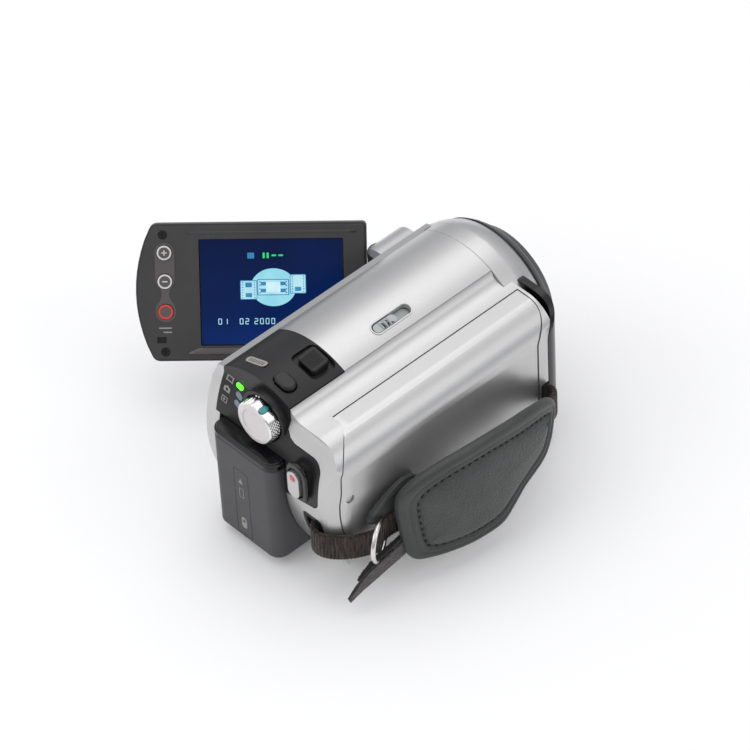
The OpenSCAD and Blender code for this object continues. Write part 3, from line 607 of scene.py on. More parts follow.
def resample(points, step):
    """Evenly spaced points along a closed outline."""
    pts = [Vector(p) for p in points]
    total = sum((pts[i] - pts[i - 1]).length for i in range(len(pts)))
    n = max(int(total / step), 8)
    out, i, left = [], 0, 0.0
    for k in range(n):
        want = total * k / n
        while True:
            seg = (pts[(i + 1) % len(pts)] - pts[i]).length
            if left + seg >= want:
                t = (want - left) / seg if seg else 0
                out.append(pts[i].lerp(pts[(i + 1) % len(pts)], t))
                break
            left += seg
            i += 1
    return out


def inset(points, amounts):
    """Moves each point of an anticlockwise outline inwards by its own amount, then evens it."""
    n = len(points)
    out = []
    for i, p in enumerate(points):
        d = (points[(i + 2) % n] - points[i - 2]).normalized()
        out.append(p + Vector((-d.y, d.x)) * amounts[i])
    for _ in range(int(3 * max(amounts))):
        out = [out[i] * 0.5 + (out[i - 1] + out[(i + 1) % n]) * 0.25 for i in range(n)]
    return out


# The pad's border in mm, Y and Z, anticlockwise: read off the photograph and rounded
PAD_OUTLINE = [(-36.9, 37.2), (-37.6, 32), (-37.4, 26), (-37.0, 19), (-36.0, 13.4), (-33.4, 9.9), (-28, 8.5),
               (-18, 7.4), (-8, 6.9), (1, 7.6), (7.6, 11.6), (13.4, 15.2), (19.6, 16.6), (26.0, 18.4),
               (30.6, 22.4), (33.6, 28.0), (35.8, 32.8), (35.0, 36.6), (29.6, 39.8), (22, 42.8), (14, 45.0),
               (4, 46.9), (-6, 47.6), (-18, 47.0), (-28.5, 44.4), (-34.2, 41.2)]
PAD_EDGE = resample(smoothed(PAD_OUTLINE, 8), 1.1)
BAND = []
for q in PAD_EDGE:
    rear = min(max((-27.0 - q[0]) / 8.0, 0), 1)
    top = min(max((q[1] - 36.0) / 8.0, 0), 1) * (1 - rear)
    BAND.append(1.0 + 0.55 * rear * rear * (3 - 2 * rear) + 0.35 * top)


def pad_side(profile, crown, spread, sign):
    """Rings of points from the pad's edge inwards, then an even fill with a gentle crown."""
    rings = []
    for d, h in profile:
        pts = inset(PAD_EDGE, [d * b if d > 1 else d for b in BAND])
        rings.append([(q, h) for q in pts])
    border = [q for q, h in rings[-1]]
    n = len(border)
    top = profile[-1][1]
    inner = [q.copy() for q in border]
    step = 1.5
    lo = Vector((min(q.x for q in border), min(q.y for q in border)))
    hi = Vector((max(q.x for q in border), max(q.y for q in border)))

    def inside(p):
        hit = False
        for i in range(n):
            a, b = border[i - 1], border[i]
            if (a.y > p.y) != (b.y > p.y) and p.x < (b.x - a.x) * (p.y - a.y) / (b.y - a.y) + a.x:
                hit = not hit
        return hit

    def reach(p):
        return min((p - q).length for q in border)

    y = lo.y + step / 2
    row = 0
    while y < hi.y:
        x = lo.x + (step / 2 if row % 2 else step)
        while x < hi.x:
            p = Vector((x, y))
            if inside(p) and reach(p) > step * 0.6:
                inner.append(p)
            x += step
        y += step * 0.87
        row += 1
    edges = [(i, (i + 1) % n) for i in range(n)]
    filled = geometry.delaunay_2d_cdt(inner, edges, [], 1, 1e-5)
    vs, fs = filled[0], filled[2]
    fill = [(v, top + sign * crown * (1 - math.exp(-(reach(v) / spread) ** 1.3))) for v in vs]
    return rings, fill, fs


def make_pad():
    # Distance in from the edge and height: a rolled band, the sewn channel, then the panel
    outer = [(0.0, 0.0), (0.10, 0.8), (0.35, 1.5), (0.8, 2.05), (1.4, 2.3), (2.0, 2.25), (2.35, 1.95),
             (2.6, 1.9), (2.9, 2.1), (3.5, 2.15), (4.1, 1.8), (4.4, 1.3), (4.65, 1.15), (4.9, 1.3),
             (5.3, 2.0), (5.9, 2.55), (7.0, 3.05), (8.2, 3.35)]
    inner = [(0.0, 0.0), (0.10, -0.8), (0.4, -1.6), (1.0, -2.1), (2.2, -2.3), (4.0, -2.4)]
    verts, faces, band = [], [], []
    n = len(PAD_EDGE)

    def lift(q, h):
        # slow unevenness of hand-sewn leather
        wob = noise.noise(Vector((q[0] * 0.09, q[1] * 0.09, 3.1))) * 0.2
        verts.append(pad_point(q[0], q[1], h + wob))

    for profile, crown, spread, sign in ((outer, 1.3, 9.0, 1), (inner, 0.5, 12.0, -1)):
        rings, fill, tris = pad_side(profile, crown, spread, sign)
        start = len(verts)
        for r in rings[:-1]:
            for q, h in r:
                lift(q, h)
        base = len(verts)
        for q, h in fill:
            lift(q, h)
        for k in range(len(rings) - 1):
            a = start + k * n
            b = base if k == len(rings) - 2 else start + (k + 1) * n
            for i in range(n):
                j = (i + 1) % n
                faces.append((a + i, a + j, b + j, b + i))
                band.append(0 if sign > 0 and profile[k][0] >= 4.6 else 1)
        for f in tris:
            faces.append(tuple(base + i for i in f))
            band.append(0 if sign > 0 else 1)
    me = bpy.data.meshes.new("hand_pad")
    me.from_pydata([Vector(v) * MM for v in verts], [], faces)
    for p, m in zip(me.polygons, band):
        p.material_index = m
        p.use_smooth = True
    bm = bmesh.new()
    bm.from_mesh(me)
    bmesh.ops.remove_doubles(bm, verts=bm.verts, dist=1e-6)
    bmesh.ops.recalc_face_normals(bm, faces=bm.faces)
    bm.to_mesh(me)
    bm.free()
    o = bpy.data.objects.new("hand_pad", me)
    scene.collection.objects.link(o)
    me.materials.append(LEATHER)
    me.materials.append(BINDING)
    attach(o, "camera_body")
    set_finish(o, "pad_leather")
    sub = o.modifiers.new("soft", "SUBSURF")
    sub.levels = 1
    sub.render_levels = 1
    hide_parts("strap_pad")

    # Stitches lie in the sewn channel
    seam = resample(inset(PAD_EDGE, [4.65 * b for b in BAND]), 0.4)
    verts, faces = [], []
    k = 0
    while k + 5 < len(seam):
        a, b = seam[k], seam[k + 4]
        pa, pb = pad_point(a[0], a[1], 1.35), pad_point(b[0], b[1], 1.35)
        d = (pb - pa).normalized()
        side = d.cross(Vector((1, 0, 0))).normalized()
        up = side.cross(d)
        start = len(verts)
        sections = 7
        for i in range(sections):
            t = i / (sections - 1)
            r = 0.26 * math.sqrt(max(1 - (2 * t - 1) ** 4, 0.02))
            rise = 0.32 * math.sin(math.pi * t) - 0.1
            for m in range(8):
                w = math.tau * m / 8
                verts.append(pa.lerp(pb, t) + side * r * math.cos(w) + up * (r * math.sin(w) + rise))
        faces += loft(sections, 8, start)
        faces.append(tuple(start + m for m in range(8))[::-1])
        faces.append(tuple(start + (sections - 1) * 8 + m for m in range(8)))
        k += 7
    piece("pad_stitches", verts, faces, THREAD, "camera_body", "pad_leather")


def ribbon(name, path, across, width, thick, material, slot, pitch=1.15, depth=0.30, taper=0.0, replaces=None,
           step=0.25, fray=0.0):
    """A woven strap: path in mm along its middle, across its width direction, fine ribs along it."""
    pts = [Vector(p) for p in smoothed(path, 10, closed=False)]
    dist = [0.0]
    for a, b in zip(pts, pts[1:]):
        dist.append(dist[-1] + (b - a).length)
    total = dist[-1]
    n = int(total / step)
    half = [(-0.5, 0.0), (-0.49, 0.30), (-0.47, 0.46), (-0.44, 0.5), (-0.3, 0.5), (-0.15, 0.5), (0, 0.5),
            (0.15, 0.5), (0.3, 0.5), (0.44, 0.5), (0.47, 0.46), (0.49, 0.30), (0.5, 0.0)]
    section = half + [(a, -b) for a, b in half[-2:0:-1]]
    verts = []
    ac = Vector(across).normalized()
    for k in range(n + 1):
        s = total * k / n
        i = 0
        while i < len(dist) - 2 and dist[i + 1] < s:
            i += 1
        t = (s - dist[i]) / max(dist[i + 1] - dist[i], 1e-9)
        c = pts[i].lerp(pts[i + 1], t)
        d = (pts[min(i + 2, len(pts) - 1)] - pts[max(i - 1, 0)]).normalized()
        up = d.cross(ac).normalized()
        w = width * (1 - taper * max(0.0, (s / total - 0.55) / 0.45) ** 1.6)
        rib = depth * abs(math.sin(math.pi * s / pitch))
        for a, b in section:
            f = noise.noise(Vector((a * 9, s * 2.1, b * 5))) * fray
            verts.append(c + ac * (a * w) + up * (b * (thick - depth + 2 * rib) + f))
    m = len(section)
    faces = loft(n + 1, m)
    faces.append(tuple(range(m))[::-1])
    faces.append(tuple(n * m + i for i in range(m)))
    o = piece(name, verts, faces, material, "camera_body", slot)
    if replaces:
        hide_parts(replaces)
    return o


def make_straps():
    """The webbing from slot to pad at each end, and the free end that hangs behind."""
    rear = [(28.6, -56.2), (29.4, -58.6), (31.4, -60.2), (34.2, -60.4), (37.4, -59.2), (40.6, -56.6),
            (43.6, -52.8), (46, -48.4), (47.6, -45)]
    ribbon("rear_strap", [(x, y, 24.0) for x, y in rear], (0, 0, 1), 11, 1.6, WEBBING, "webbing",
           replaces="rear_webbing")
    front = [(50.6, 21.0, 30.6), (50.1, 27.0, 30.2), (49.2, 32.6, 29.4), (47.8, 37.4, 28.4),
             (45.6, 41.0, 27.6), (43.0, 42.3, 27.2), (40.6, 41.7, 27), (38.6, 41, 27)]
    ribbon("front_strap", front, (0, 0, 1), 11, 1.6, WEBBING, "webbing", replaces="front_webbing")
    # The free end hangs down and back from behind the pad, loops on its inner side
    tail = [(49.6, -31.5, 16.2), (49.9, -38, 15.4), (49.6, -44, 14.0), (49.0, -50, 11.9), (48.3, -55.5, 9.2),
            (47.9, -60.4, 5.9)]
    across = (0.12, -0.32, 0.94)
    ribbon("strap_end", tail, across, 8.2, 1.0, HOOK, "webbing", pitch=0.9, depth=0.10, taper=0.72,
           replaces="strap_tail", fray=0.10)
    ribbon("strap_end_loops", [(x - 1.1, y + 0.5, z + 1.5) for x, y, z in tail[:5]], across, 8.6, 1.7, THREAD,
           "webbing", pitch=0.7, depth=0.12, taper=0.85, fray=0.4)
    ribbon("strap_tongue", [(46.9, -46.6, 24), (45.4, -42.8, 24.1), (44.9, -39.0, 24.4), (45.6, -35.0, 25),
                            (47.0, -30.0, 26.0)], (0, 0, 1), 10.6, 1.3, WEBBING, "webbing")


def make_flap():
    """The pad's inner flap, with piping: it reaches back past the outer panel towards the ring."""
    side = Matrix(((0, 0, 1, 0), (1, 0, 0, 0), (0, 1, 0, 0), (0, 0, 0, 1)))
    flap = smoothed([(-22, 36.0), (-26.5, 38.8), (-32, 39.4), (-40, 36.4), (-46.0, 32.6), (-46.4, 30.2),
                     (-42.0, 27.8), (-33.5, 26.2), (-24, 27), (-20, 31)], 6)
    plate("pad_flap", [flap], 43.0, 44.6, 0.7, BINDING, "camera_body", "pad_leather", side)
    piping = [(44.3, y, z) for y, z in ((-25.5, 38.8), (-28.5, 39.6), (-32, 39.7), (-40, 36.8),
                                        (-45.4, 33.4))]
    ribbon("pad_flap_piping", piping, (1, 0, 0), 1.8, 1.8, BINDING, "pad_leather", pitch=50, depth=0.0)


make_pad()
make_straps()
make_flap()


# ---------------------------------------------------------------- screen panel

def segment_digit(u, h, size, digit):
    """A seven-segment digit as small bars, u to the right in the picture."""
    on = {0: "abcdef", 1: "bc", 2: "abged", 3: "abgcd", 4: "fgbc", 5: "afgcd", 6: "afgedc", 7: "abc",
          8: "abcdefg", 9: "abcdfg"}[digit]
    w, t = size * 0.55, size * 0.15
    spots = {"a": (0, size / 2, w, t), "g": (0, 0, w, t), "d": (0, -size / 2, w, t),
             "f": (-w / 2, size / 4, t, size / 2), "b": (w / 2, size / 4, t, size / 2),
             "e": (-w / 2, -size / 4, t, size / 2), "c": (w / 2, -size / 4, t, size / 2)}
    out = []
    for k in on:
        x, y, a, b = spots[k]
        # the picture's right is towards the hinge
        out.append(round_rect(a, b, min(a, b) * 0.25, u - x, h + y, 2))
    return out


def flat(name, outlines, low, high, material, slot, body="screen_panel", matrix=None, edge=None):
    """Several separate flat shapes, or shapes with holes when given as lists of outlines."""
    parts = []
    for k, o in enumerate(outlines):
        loops = o if isinstance(o[0], list) else [o]
        parts.append(plate(name + "_" + str(k), loops, low, high,
                           edge if edge is not None else (high - low) * 0.2,
                           material, body, slot, matrix or PANEL_FACE, turn=1))
    return join(name, parts) if len(parts) > 1 else parts[0]


def make_panel():
    # The three keys' places: all this far along the panel, and each up it
    key = 76.7
    tele, wide, record = 14.5, 4.2, -6.7
    # Slightly lighter field under the three keys: height and half width, round its own middle
    prof = [(18, 0.05), (17.7, 1.4), (16.9, 2.5), (15.9, 3.15), (14.5, 3.45), (9.5, 3.45), (4.6, 3.45),
            (3.2, 3.1), (2.0, 2.3), (1.1, 1.6), (0.1, 1.4), (-1.4, 1.45), (-2.6, 1.9), (-3.6, 2.7),
            (-4.8, 3.3), (-6.7, 3.7), (-8.6, 3.25), (-9.8, 2.2), (-10.3, 1.0), (-10.4, 0.05)]
    mid_u, mid_h = 76.65, 3.8
    field = [(mid_u + w, h) for h, w in prof] + [(mid_u - w, h) for h, w in reversed(prof)]
    rim = [(mid_u + (u - mid_u) * 1.09, (h - mid_h) * 1.022 + mid_h) for u, h in field]
    holes = [circle(2.85, u, h, 40) for u, h in ((key, tele), (key, wide), (key, record))]
    plate("key_field", [field] + holes, 4.9, 5.12, 0.06, PAD_GREY, "screen_panel", "charcoal_plastic",
          PANEL_FACE)
    plate("key_field_rim", [rim, field], 4.9, 5.06, 0.03, CHARCOAL, "screen_panel", "charcoal_plastic",
          PANEL_FACE)
    flat("zoom_rings", [[circle(2.62, key, tele), circle(2.0, key, tele)],
                        [circle(2.62, key, wide), circle(2.0, key, wide)]], 5.3, 5.52, WHITE,
         "charcoal_plastic")
    plate("record_ring", [circle(2.68, key, record), circle(1.95, key, record)], 5.3, 5.52, 0.06, RED,
          "screen_panel", "red_mark", PANEL_FACE)
    flat("zoom_signs", [round_rect(1.9, 0.42, 0.12, key, tele, 2), round_rect(0.42, 1.9, 0.12, key, tele, 2),
                        round_rect(1.9, 0.42, 0.12, key, wide, 2)], 5.36, 5.5, WHITE, "charcoal_plastic")
    flat("record_label", [round_rect(4.6, 0.5, 0.15, 77.0, -12.6, 2),
                          round_rect(3.0, 0.5, 0.15, 76.2, -14.1, 2)],
         4.95, 5.05, PRINT, "charcoal_plastic")
    plate("light_window", [round_rect(3.4, 2.3, 0.3, 78.4, -16.9)], 4.6, 5.04, 0.05, GLOSS, "screen_panel",
          "dark_window", PANEL_FACE)
    # Sloped lips above and below the screen
    for name, sign, mat in (("screen_lip_top", 1, CHARCOAL), ("screen_lip_bottom", -1, PAD_GREY)):
        u0, u1, h0, h1 = 9.0, 68.4, 19.5, 21.2
        verts, faces = [], []
        rows = [(h0, 4.55, 13.4, 64.6), (h0 + 0.5, 4.75, 12.4, 65.4), (h1, 5.06, u0, u1),
                (h1 + 0.5, 5.10, u0 - 0.6, u1 + 0.6), (h1 + 0.8, 4.98, u0 - 0.8, u1 + 0.8)]
        n = 24
        for h, out, a, b in rows:
            for i in range(n + 1):
                verts.append((a + (b - a) * i / n, sign * h, out))
        for r in range(len(rows) - 1):
            for i in range(n):
                q = r * (n + 1) + i
                faces.append((q, q + 1, q + n + 2, q + n + 1))
        o = piece(name, verts, faces, mat, "screen_panel", "charcoal_plastic", matrix=PANEL_FACE)
        so = o.modifiers.new("body", "SOLIDIFY")
        so.thickness = 0.25 * MM
        so.offset = -1
    # Picture
    level = 4.02
    plate("picture", [round_rect(50.4, 37.7, 0.4, 38.96, 0)], 3.9, level, 0.02, SCREEN_BLUE,
          "screen_panel", "screen", PANEL_FACE)
    flat("picture_disc", [circle(8.0, 38.4, 1.55, 64, 0.85)], level, level + 0.05, SCREEN_DISC, "screen")

    def film(u, h, w, t, holes):
        """A strip of film with a row of holes along each edge."""
        outer = round_rect(w, t, 0.25, u, h, 2)
        loops = [outer]
        for side in (-1, 1):
            for k in range(holes):
                loops.append(round_rect(0.42, t / holes * 0.45, 0.08, u + side * (w / 2 - 0.62),
                                        h + t * ((k + 0.5) / holes - 0.5), 1))
        return loops

    flat("picture_film_edge", [round_rect(6.0, 6.9, 0.3, 47.2, 0.7, 2),
                               round_rect(11.3, 5.8, 0.3, 38.5, 1.6, 2),
                               round_rect(5.7, 6.9, 0.3, 29.7, 2.7, 2)], level + 0.03, level + 0.07,
         SCREEN_MID, "screen")
    flat("picture_film", [film(47.2, 0.7, 5.5, 6.4, 7), film(38.5, 1.6, 10.6, 5.2, 4),
                          film(29.7, 2.7, 5.2, 6.4, 7)], level + 0.05, level + 0.10, SCREEN_CYAN, "screen")
    flat("picture_frames", [round_rect(2.3, 1.7, 0.1, 47.2, 2.5, 1), round_rect(2.3, 1.5, 0.1, 47.2, -1.2, 1),
                            round_rect(1.9, 1.3, 0.1, 35.0, 2.9, 1), round_rect(1.9, 1.3, 0.1, 42.0, 2.9, 1),
                            round_rect(1.9, 1.3, 0.1, 35.0, 0.4, 1), round_rect(1.9, 1.3, 0.1, 42.0, 0.4, 1),
                            round_rect(2.2, 1.5, 0.1, 29.7, 0.9, 1)],
         level + 0.10, level + 0.13, SCREEN_MID, "screen")
    flat("picture_gate", [round_rect(5.0, 3.6, 0.2, 38.5, 1.6, 2)], level + 0.10, level + 0.13, SCREEN_WHITE,
         "screen")
    flat("picture_state", [round_rect(2.4, 2.1, 0.2, 46.2, 13.0, 2)], level, level + 0.04, SCREEN_MID,
         "screen")
    flat("picture_wait", [round_rect(0.7, 2.0, 0.1, 41.6, 13.0, 1), round_rect(0.7, 2.0, 0.1, 40.2, 13.0, 1),
                          round_rect(1.6, 0.6, 0.1, 38.0, 13.0, 1), round_rect(1.6, 0.6, 0.1, 35.6, 13.0, 1)],
         level, level + 0.04, SCREEN_GREEN, "screen")
    digits = []
    for u, d in ((57.6, 0), (55.6, 1), (50.0, 0), (48.0, 2), (44.8, 2), (42.8, 0), (40.8, 0), (38.8, 0)):
        digits += segment_digit(u, -10.6, 1.9, d)
    flat("picture_count", digits, level, level + 0.04, SCREEN_CYAN, "screen")


def screen_blue():
    """The lit display's dark picture: deep blue, lighter towards one corner."""
    t = Tree("screen_blue")
    m = t.add("ShaderNodeMapping")
    m.inputs["Rotation"].default_value = (0, 0, math.radians(38))
    m.inputs["Scale"].default_value = (16, 16, 16)
    m.inputs["Location"].default_value = (0.9, 0.6, 0)
    t.link(t.coord, "Object", m, "Vector")
    g = t.add("ShaderNodeTexGradient", gradient_type="LINEAR")
    t.link(m, "Vector", g, "Vector")
    cloud = t.noise(40.0, 4.0)
    mix = t.add("ShaderNodeMath", operation="MULTIPLY_ADD")
    mix.inputs[1].default_value = 0.35
    t.link(cloud, "Fac", mix, 0)
    t.link(g, "Fac", mix, 2)
    c = t.ramp(mix, "Value", [(0.1, (0.0, 0.004, 0.030)), (0.45, (0.0, 0.012, 0.085)),
                              (0.8, (0.002, 0.035, 0.24))])
    t.link(c, "Color", t.bsdf, "Emission Color")
    t.set(Base_Color=(0.002, 0.003, 0.008, 1), Emission_Strength=1.0, Roughness=0.3, Specular_IOR_Level=0.12)
    return t.mat


SCREEN_BLUE = screen_blue()
SCREEN_DISC = lit("screen_disc", (0.34, 0.74, 0.84), 1.0, (0.26, 0.66, 0.80))
SCREEN_CYAN = lit("screen_cyan", (0.55, 0.86, 0.92), 0.95, (0.36, 0.72, 0.86))
SCREEN_MID = lit("screen_mid", (0.05, 0.32, 0.62), 0.9, (0.02, 0.20, 0.45))
SCREEN_WHITE = lit("screen_white", (0.80, 0.93, 0.96), 1.0, (0.45, 0.82, 0.90))
SCREEN_GREEN = lit("screen_green", (0.02, 0.85, 0.20), 1.0)
make_panel()


# ---------------------------------------------------------------- mode dial

def make_dial():
    cx, _, cz = middle("mode_dial")
    flat_at = math.radians(67)
    steps = 420
    prof = [(8.05, -54.6), (8.4, -54.9)] + [(8.4, -55.1 - 3.9 * i / 22) for i in range(23)] + \
           [(8.38, -59.3), (8.2, -59.6), (7.95, -59.85), (7.6, -59.98), (7.3, -59.9), (7.0, -59.2)]
    verts = []
    for r0, y in prof:
        for i in range(steps):
            a = math.tau * i / steps
            r = r0
            c = math.cos(a - flat_at)
            if c > 0.5:
                r = min(r, (7.6 - (8.4 - r0) * 0.8) / c)
            da = (a - flat_at + math.pi) % math.tau - math.pi
            # two finger grooves to the left of the flat
            groove = sum(math.exp(-((math.degrees(da) - at) / 2.6) ** 2) for at in (37, 47))
            r -= 0.7 * groove * (1 if y < -55 else 0)
            # diamond knurl on the right and lower side
            deg = math.degrees((a + math.pi) % math.tau - math.pi)
            zone = min(max((28 - deg) / 4, 0), 1) * min(max((deg + 62) / 4, 0), 1) * \
                min(max((y + 59.25) / 0.25, 0), 1) * min(max((-55.15 - y) / 0.25, 0), 1)
            u, w = a * 8.4 / 0.62, (y + 60) / 0.62
            k = abs(math.sin((u + w) * math.pi / 2)) * abs(math.sin((u - w) * math.pi / 2))
            r += zone * (0.36 * k - 0.22)
            verts.append((cx + r * math.cos(a), y, cz + r * math.sin(a)))
    faces = loft(len(prof), steps)
    faces.append(tuple(range(steps)))
    last = (len(prof) - 1) * steps
    faces.append(tuple(last + i for i in range(steps))[::-1])
    rim = piece("dial_rim", verts, faces, CHROME, "dial", "dial_chrome")
    shade(rim)
    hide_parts("mode_dial")

    # Satin face: a flat ring, a small step and a dished centre
    prof = [(7.75, -59.7), (7.72, -60.0), (7.6, -60.1), (6.4, -60.14), (5.75, -60.14), (5.62, -60.08),
            (5.56, -59.72), (5.45, -59.62), (5.1, -59.62), (4.0, -59.52), (2.5, -59.44), (0.9, -59.40)]
    n = 160
    verts = []
    for r0, y in prof:
        for i in range(n):
            a = math.tau * i / n
            r = r0
            c = math.cos(a - flat_at)
            if c > 0.5 and r0 > 6.5:
                r = min(r, (7.3 + (r0 - 7.75)) / c)
            yy = y
            # index notch at the foot of the ring
            if 5.6 < r0 < 7.4 and abs(math.degrees(a) - 262) < 2.6:
                yy = y + 0.25
            verts.append((cx + r * math.cos(a), yy, cz + r * math.sin(a)))
    faces = loft(len(prof), n)
    faces.append(tuple((len(prof) - 1) * n + i for i in range(n)))
    faces.append(tuple(range(n))[::-1])
    shade(piece("dial_face", verts, faces, FACE, "dial", "dial_chrome"))

    # Lock key on the flat: a pill along the dial's axis
    d = Vector((math.cos(flat_at), 0, math.sin(flat_at)))
    y = Vector((0, 1, 0))
    x = y.cross(d)
    m = Matrix((y, x, d)).transposed().to_4x4()
    m.translation = Vector((cx, -57.45, cz)) * MM
    key = plate("lock_key", [round_rect(3.8, 2.2, 1.1, steps=8)], 6.2, 7.9, 0.25, TEAL, "dial_key",
                "teal_key", m)
    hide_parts("dial_button")
    plate("lock_key_frame", [round_rect(4.3, 2.7, 1.3, steps=8), round_rect(3.9, 2.3, 1.1, steps=8)], 7.45,
          7.68, 0.04, BLACK, "dial", "dial_chrome", m)


make_dial()


# ---------------------------------------------------------------- marks and small details on the body

def make_lights():
    """The lit power light, and a generic sign for each mode."""
    plate("power_light", [round_rect(3.5, 1.9, 0.9)], -0.1, 0.22, 0.08, GREEN_LIT, "camera_body",
          "green_light", on_back(-10.4, 63.0) @ turned(-6, "Z"))
    m = on_back(-15.4, 63.2)
    turn = turned(-4, "Z")
    flat("mode_film", [[round_rect(2.9, 2.2, 0.2), round_rect(2.1, 1.4, 0.1)],
                       round_rect(0.3, 2.6, 0.1, -1.5, 0, 1),
                       round_rect(0.3, 2.6, 0.1, 1.5, 0, 1)], 0.0, 0.08, PRINT, "black_gloss", "camera_body",
         m @ turn)
    m = on_back(-15.6, 59.3)
    flat("mode_still", [[round_rect(3.0, 2.0, 0.4), circle(0.62, 0, 0, 20)],
                        round_rect(1.1, 0.5, 0.1, 0, 1.15, 1)],
         0.0, 0.08, PRINT, "black_gloss", "camera_body", m @ turn)
    m = on_back(-15.8, 55.5)
    flat("mode_play", [[round_rect(2.8, 2.3, 0.2), round_rect(2.2, 1.7, 0.1)],
                       [(-0.5, -0.55), (0.6, 0), (-0.5, 0.55)]],
         0.0, 0.08, PRINT, "black_gloss", "camera_body", m @ turn)


def make_badge():
    """A blank badge with slits on the black top."""
    m = on_arch(-8.3, -46.6) @ turned(4, "Z")
    slits = [round_rect(0.35, 1.7, 0.12, -3.2 + 0.92 * i, 0, 2) for i in range(8)]
    plate("top_badge", [round_rect(9.6, 3.0, 1.45, steps=8)] + slits, -0.02, 0.12, 0.04, PRINT, "camera_body",
          "black_gloss", m)


def make_zoom_key():
    """The zoom lever: a low block that slopes down to the rear, with ridges over it."""
    m = on_arch(5.7, -33.4) @ turned(7, "X") @ Matrix.Translation((0, 0, -1.0 * MM))
    lever = plate("zoom_key", [round_rect(8.4, 7.6, 1.3, steps=8)], -1.2, 2.35, 0.55, PANEL_BLACK,
                  "zoom_rocker", "black_gloss", m, turn=4)
    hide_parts("zoom_lever")
    parts = []
    path = [(-3.80, -0.6), (-3.82, 0.8), (-3.78, 1.6), (-3.4, 2.2), (-2.6, 2.35), (0, 2.36), (2.2, 2.33),
            (2.8, 2.2)]
    pts = smoothed([(0.0, a, b) for a, b in path], 4, closed=False)
    side = Vector((0.16, 0, 0))
    for i in range(11):
        x = -2.6 + 0.52 * i
        verts = []
        for k, q in enumerate(pts):
            p0 = Vector(pts[max(k - 1, 0)])
            p1 = Vector(pts[min(k + 1, len(pts) - 1)])
            d = (p1 - p0).normalized()
            nrm = Vector((0, -d.z, d.y))
            for g in range(6):
                w = math.tau * g / 6
                verts.append(Vector((x, q[1], q[2])) + side * math.cos(w) + nrm * 0.2 * math.sin(w))
        faces = loft(len(pts), 6)
        faces.append(tuple(range(6))[::-1])
        faces.append(tuple((len(pts) - 1) * 6 + g for g in range(6)))
        parts.append(piece("ridge_" + str(i), verts, faces, GLOSS, "zoom_rocker", "black_gloss", matrix=m))
    join("zoom_ridges", parts)


def make_switch_slot():
    """A raised rim round the night switch's slot, and the slot's floor."""
    m = on_arch(9, -0.3)
    plate("switch_rim", [round_rect(5.4, 18.2, 2.6, steps=10), round_rect(4.3, 17.1, 2.1, steps=10)], -0.3,
          0.3, 0.12, SILVER, "camera_body", "silver_paint", m)
    plate("switch_well", [round_rect(4.2, 17.0, 2.05, steps=10)], -3.0, -2.4, 0.1, SLIDER, "camera_body",
          "grey_key", m)


def make_record_hood():
    """A glossy hood round the record button, a little up and to the right of it."""
    button = middle("record_button")
    button_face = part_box("record_button")[0].y / MM
    m = Matrix.Translation(Vector((button.x + 0.7, button_face + 2, button.z + 1.1)) * MM) @ BACK_FACE
    plate("record_hood", [round_rect(10.2, 16.6, 5.0, steps=10),
                          round_rect(6.6, 12.6, 3.2, -0.5, -0.9, steps=10)],
          -0.6, 1.0, 0.7, GLOSS, "camera_body", "black_gloss", m, turn=4)


def make_ring_band():
    """A dark band that widens the front ring over the barrel's shoulder."""
    prof = [(29.0, 56.0), (29.25, 56.15), (28.75, 56.9), (27.5, 58.55), (25.95, 60.1), (25.7, 60.2),
            (25.5, 60.0)]
    n = 128
    verts = []
    for r, y in prof:
        for i in range(n):
            a = math.tau * i / n
            verts.append((r * math.cos(a), y, AXIS_Z + r * math.sin(a)))
    faces = loft(len(prof), n, wrap=True)
    piece("ring_band", verts, faces, BLACK, "camera_body", "black_plastic")


def make_battery_print():
    """A frame and generic signs on the back of the battery."""
    back = Matrix.Translation((0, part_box("battery_case")[0].y, 0)) @ BACK_FACE
    plate("battery_frame", [round_rect(7.4, 31.6, 0.8, -0.8, 21.0), round_rect(6.9, 31.1, 0.6, -0.8, 21.0)],
          -0.05, 0.06, 0.02, GLOSS, "battery", "charcoal_plastic", back)
    flat("battery_signs", [[(-2.1, 30.6), (0.1, 30.6), (-1.0, 33.0)],
                           [round_rect(2.2, 4.4, 0.5, -1.0, 26.0), round_rect(1.7, 3.9, 0.35, -1.0, 26.0)],
                           [round_rect(2.6, 5.2, 1.2, -0.8, 11.4), circle(0.7, -0.8, 12.2, 16)]],
         0.0, 0.06, PRINT, "charcoal_plastic", "battery", back)


make_lights()
make_badge()
make_zoom_key()
make_switch_slot()
make_record_hood()
make_ring_band()
make_battery_print()


# ---------------------------------------------------------------- stage

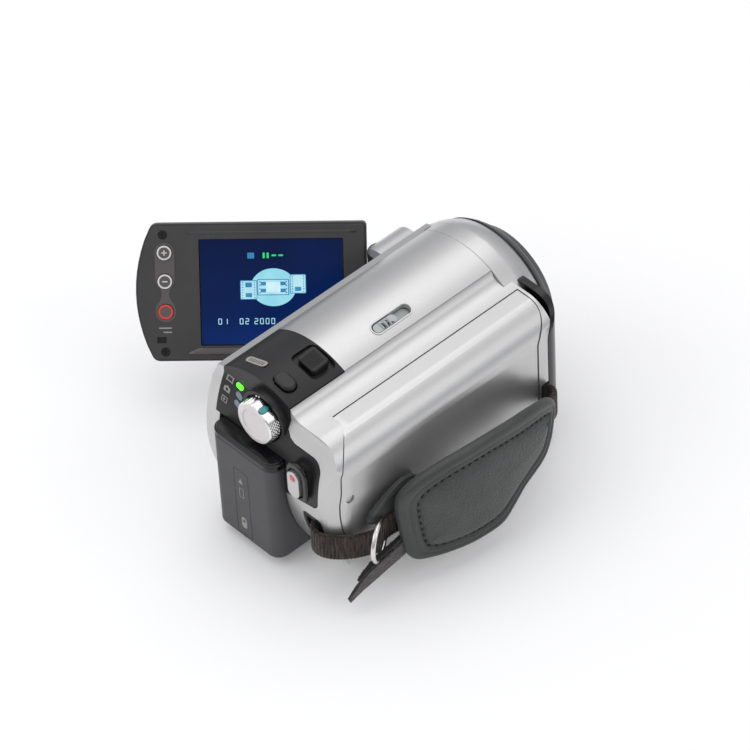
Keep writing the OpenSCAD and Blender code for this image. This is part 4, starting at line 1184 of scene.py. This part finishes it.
def stage():
    me = bpy.data.meshes.new("floor")
    low = CAD_BOX[0][2] - 0.0002
    s = 4.0
    me.from_pydata([(-s, -s, low), (s, -s, low), (s, s, low), (-s, s, low)], [], [(0, 1, 2, 3)])
    o = bpy.data.objects.new("floor", me)
    scene.collection.objects.link(o)
    t = Tree("pale_floor")
    slow = t.noise(2.0, 2.0)
    colour = t.ramp(slow, "Fac", [(0.3, (0.86, 0.86, 0.86)), (0.7, (0.88, 0.88, 0.88))])
    t.link(colour, "Color", t.bsdf, "Base Color")
    t.set(Roughness=0.9, Specular_IOR_Level=0.1, Emission_Color=(1, 1, 1, 1), Emission_Strength=0.10)
    o.data.materials.append(t.mat)

    world = bpy.data.worlds.new("studio")
    world.use_nodes = True
    nt = world.node_tree
    bg = nt.nodes["Background"]
    coord = nt.nodes.new("ShaderNodeTexCoord")
    split = nt.nodes.new("ShaderNodeSeparateXYZ")
    sky = nt.nodes.new("ShaderNodeValToRGB")
    nt.links.new(coord.outputs["Generated"], split.inputs[0])
    nt.links.new(split.outputs["Z"], sky.inputs["Fac"])
    nt.links.new(sky.outputs["Color"], bg.inputs["Color"])
    el = sky.color_ramp.elements
    el[0].position, el[0].color = 0.0, (0.42, 0.43, 0.45, 1)
    el[1].position, el[1].color = 0.75, (1.0, 1.0, 1.02, 1)
    e = el.new(0.35)
    e.color = (0.62, 0.63, 0.65, 1)
    bg.inputs["Strength"].default_value = 0.85
    scene.world = world

    def area(name, at, look, size, power, colour=(1, 1, 1), size_y=None):
        la = bpy.data.lights.new(name, "AREA")
        la.energy = power
        la.color = colour
        la.shape = "RECTANGLE"
        la.size = size
        la.size_y = size_y or size
        ob = bpy.data.objects.new(name, la)
        scene.collection.objects.link(ob)
        ob.location = at
        d = Vector(look) - Vector(at)
        ob.rotation_euler = d.to_track_quat("-Z", "Y").to_euler()

    area("key", (-0.35, 0.25, 1.3), (0, 0, 0.04), 1.3, 5)
    area("side", (1.3, 0.5, 0.9), (0, 0, 0.04), 0.9, 2.5)
    area("back", (-0.6, -1.0, 0.9), (0, 0, 0.04), 0.9, 3)

    cam = bpy.data.cameras.new("camera")
    cam.sensor_width = 36.0
    cam.lens = 218.9664
    cam.shift_x = -0.001333
    cam.shift_y = 0.001467
    cam.clip_start = 0.05
    cam.clip_end = 20
    co = bpy.data.objects.new("camera", cam)
    scene.collection.objects.link(co)
    bearing, height, roll = (math.radians(v) for v in (49.044, 44.263, -3.374))
    back = Vector((math.sin(bearing) * math.cos(height), -math.cos(bearing) * math.cos(height),
                   math.sin(height)))
    right = Vector((math.cos(bearing), math.sin(bearing), 0))
    up = back.cross(right)
    c, s = math.cos(roll), math.sin(roll)
    m = Matrix((right * c + up * s, up * c - right * s, back)).transposed().to_4x4()
    m.translation = Vector((0.8563, -0.7441, 1.1435))
    co.matrix_world = m
    scene.camera = co
    scene.view_settings.view_transform = "Standard"
    scene.view_settings.look = "None"


stage()
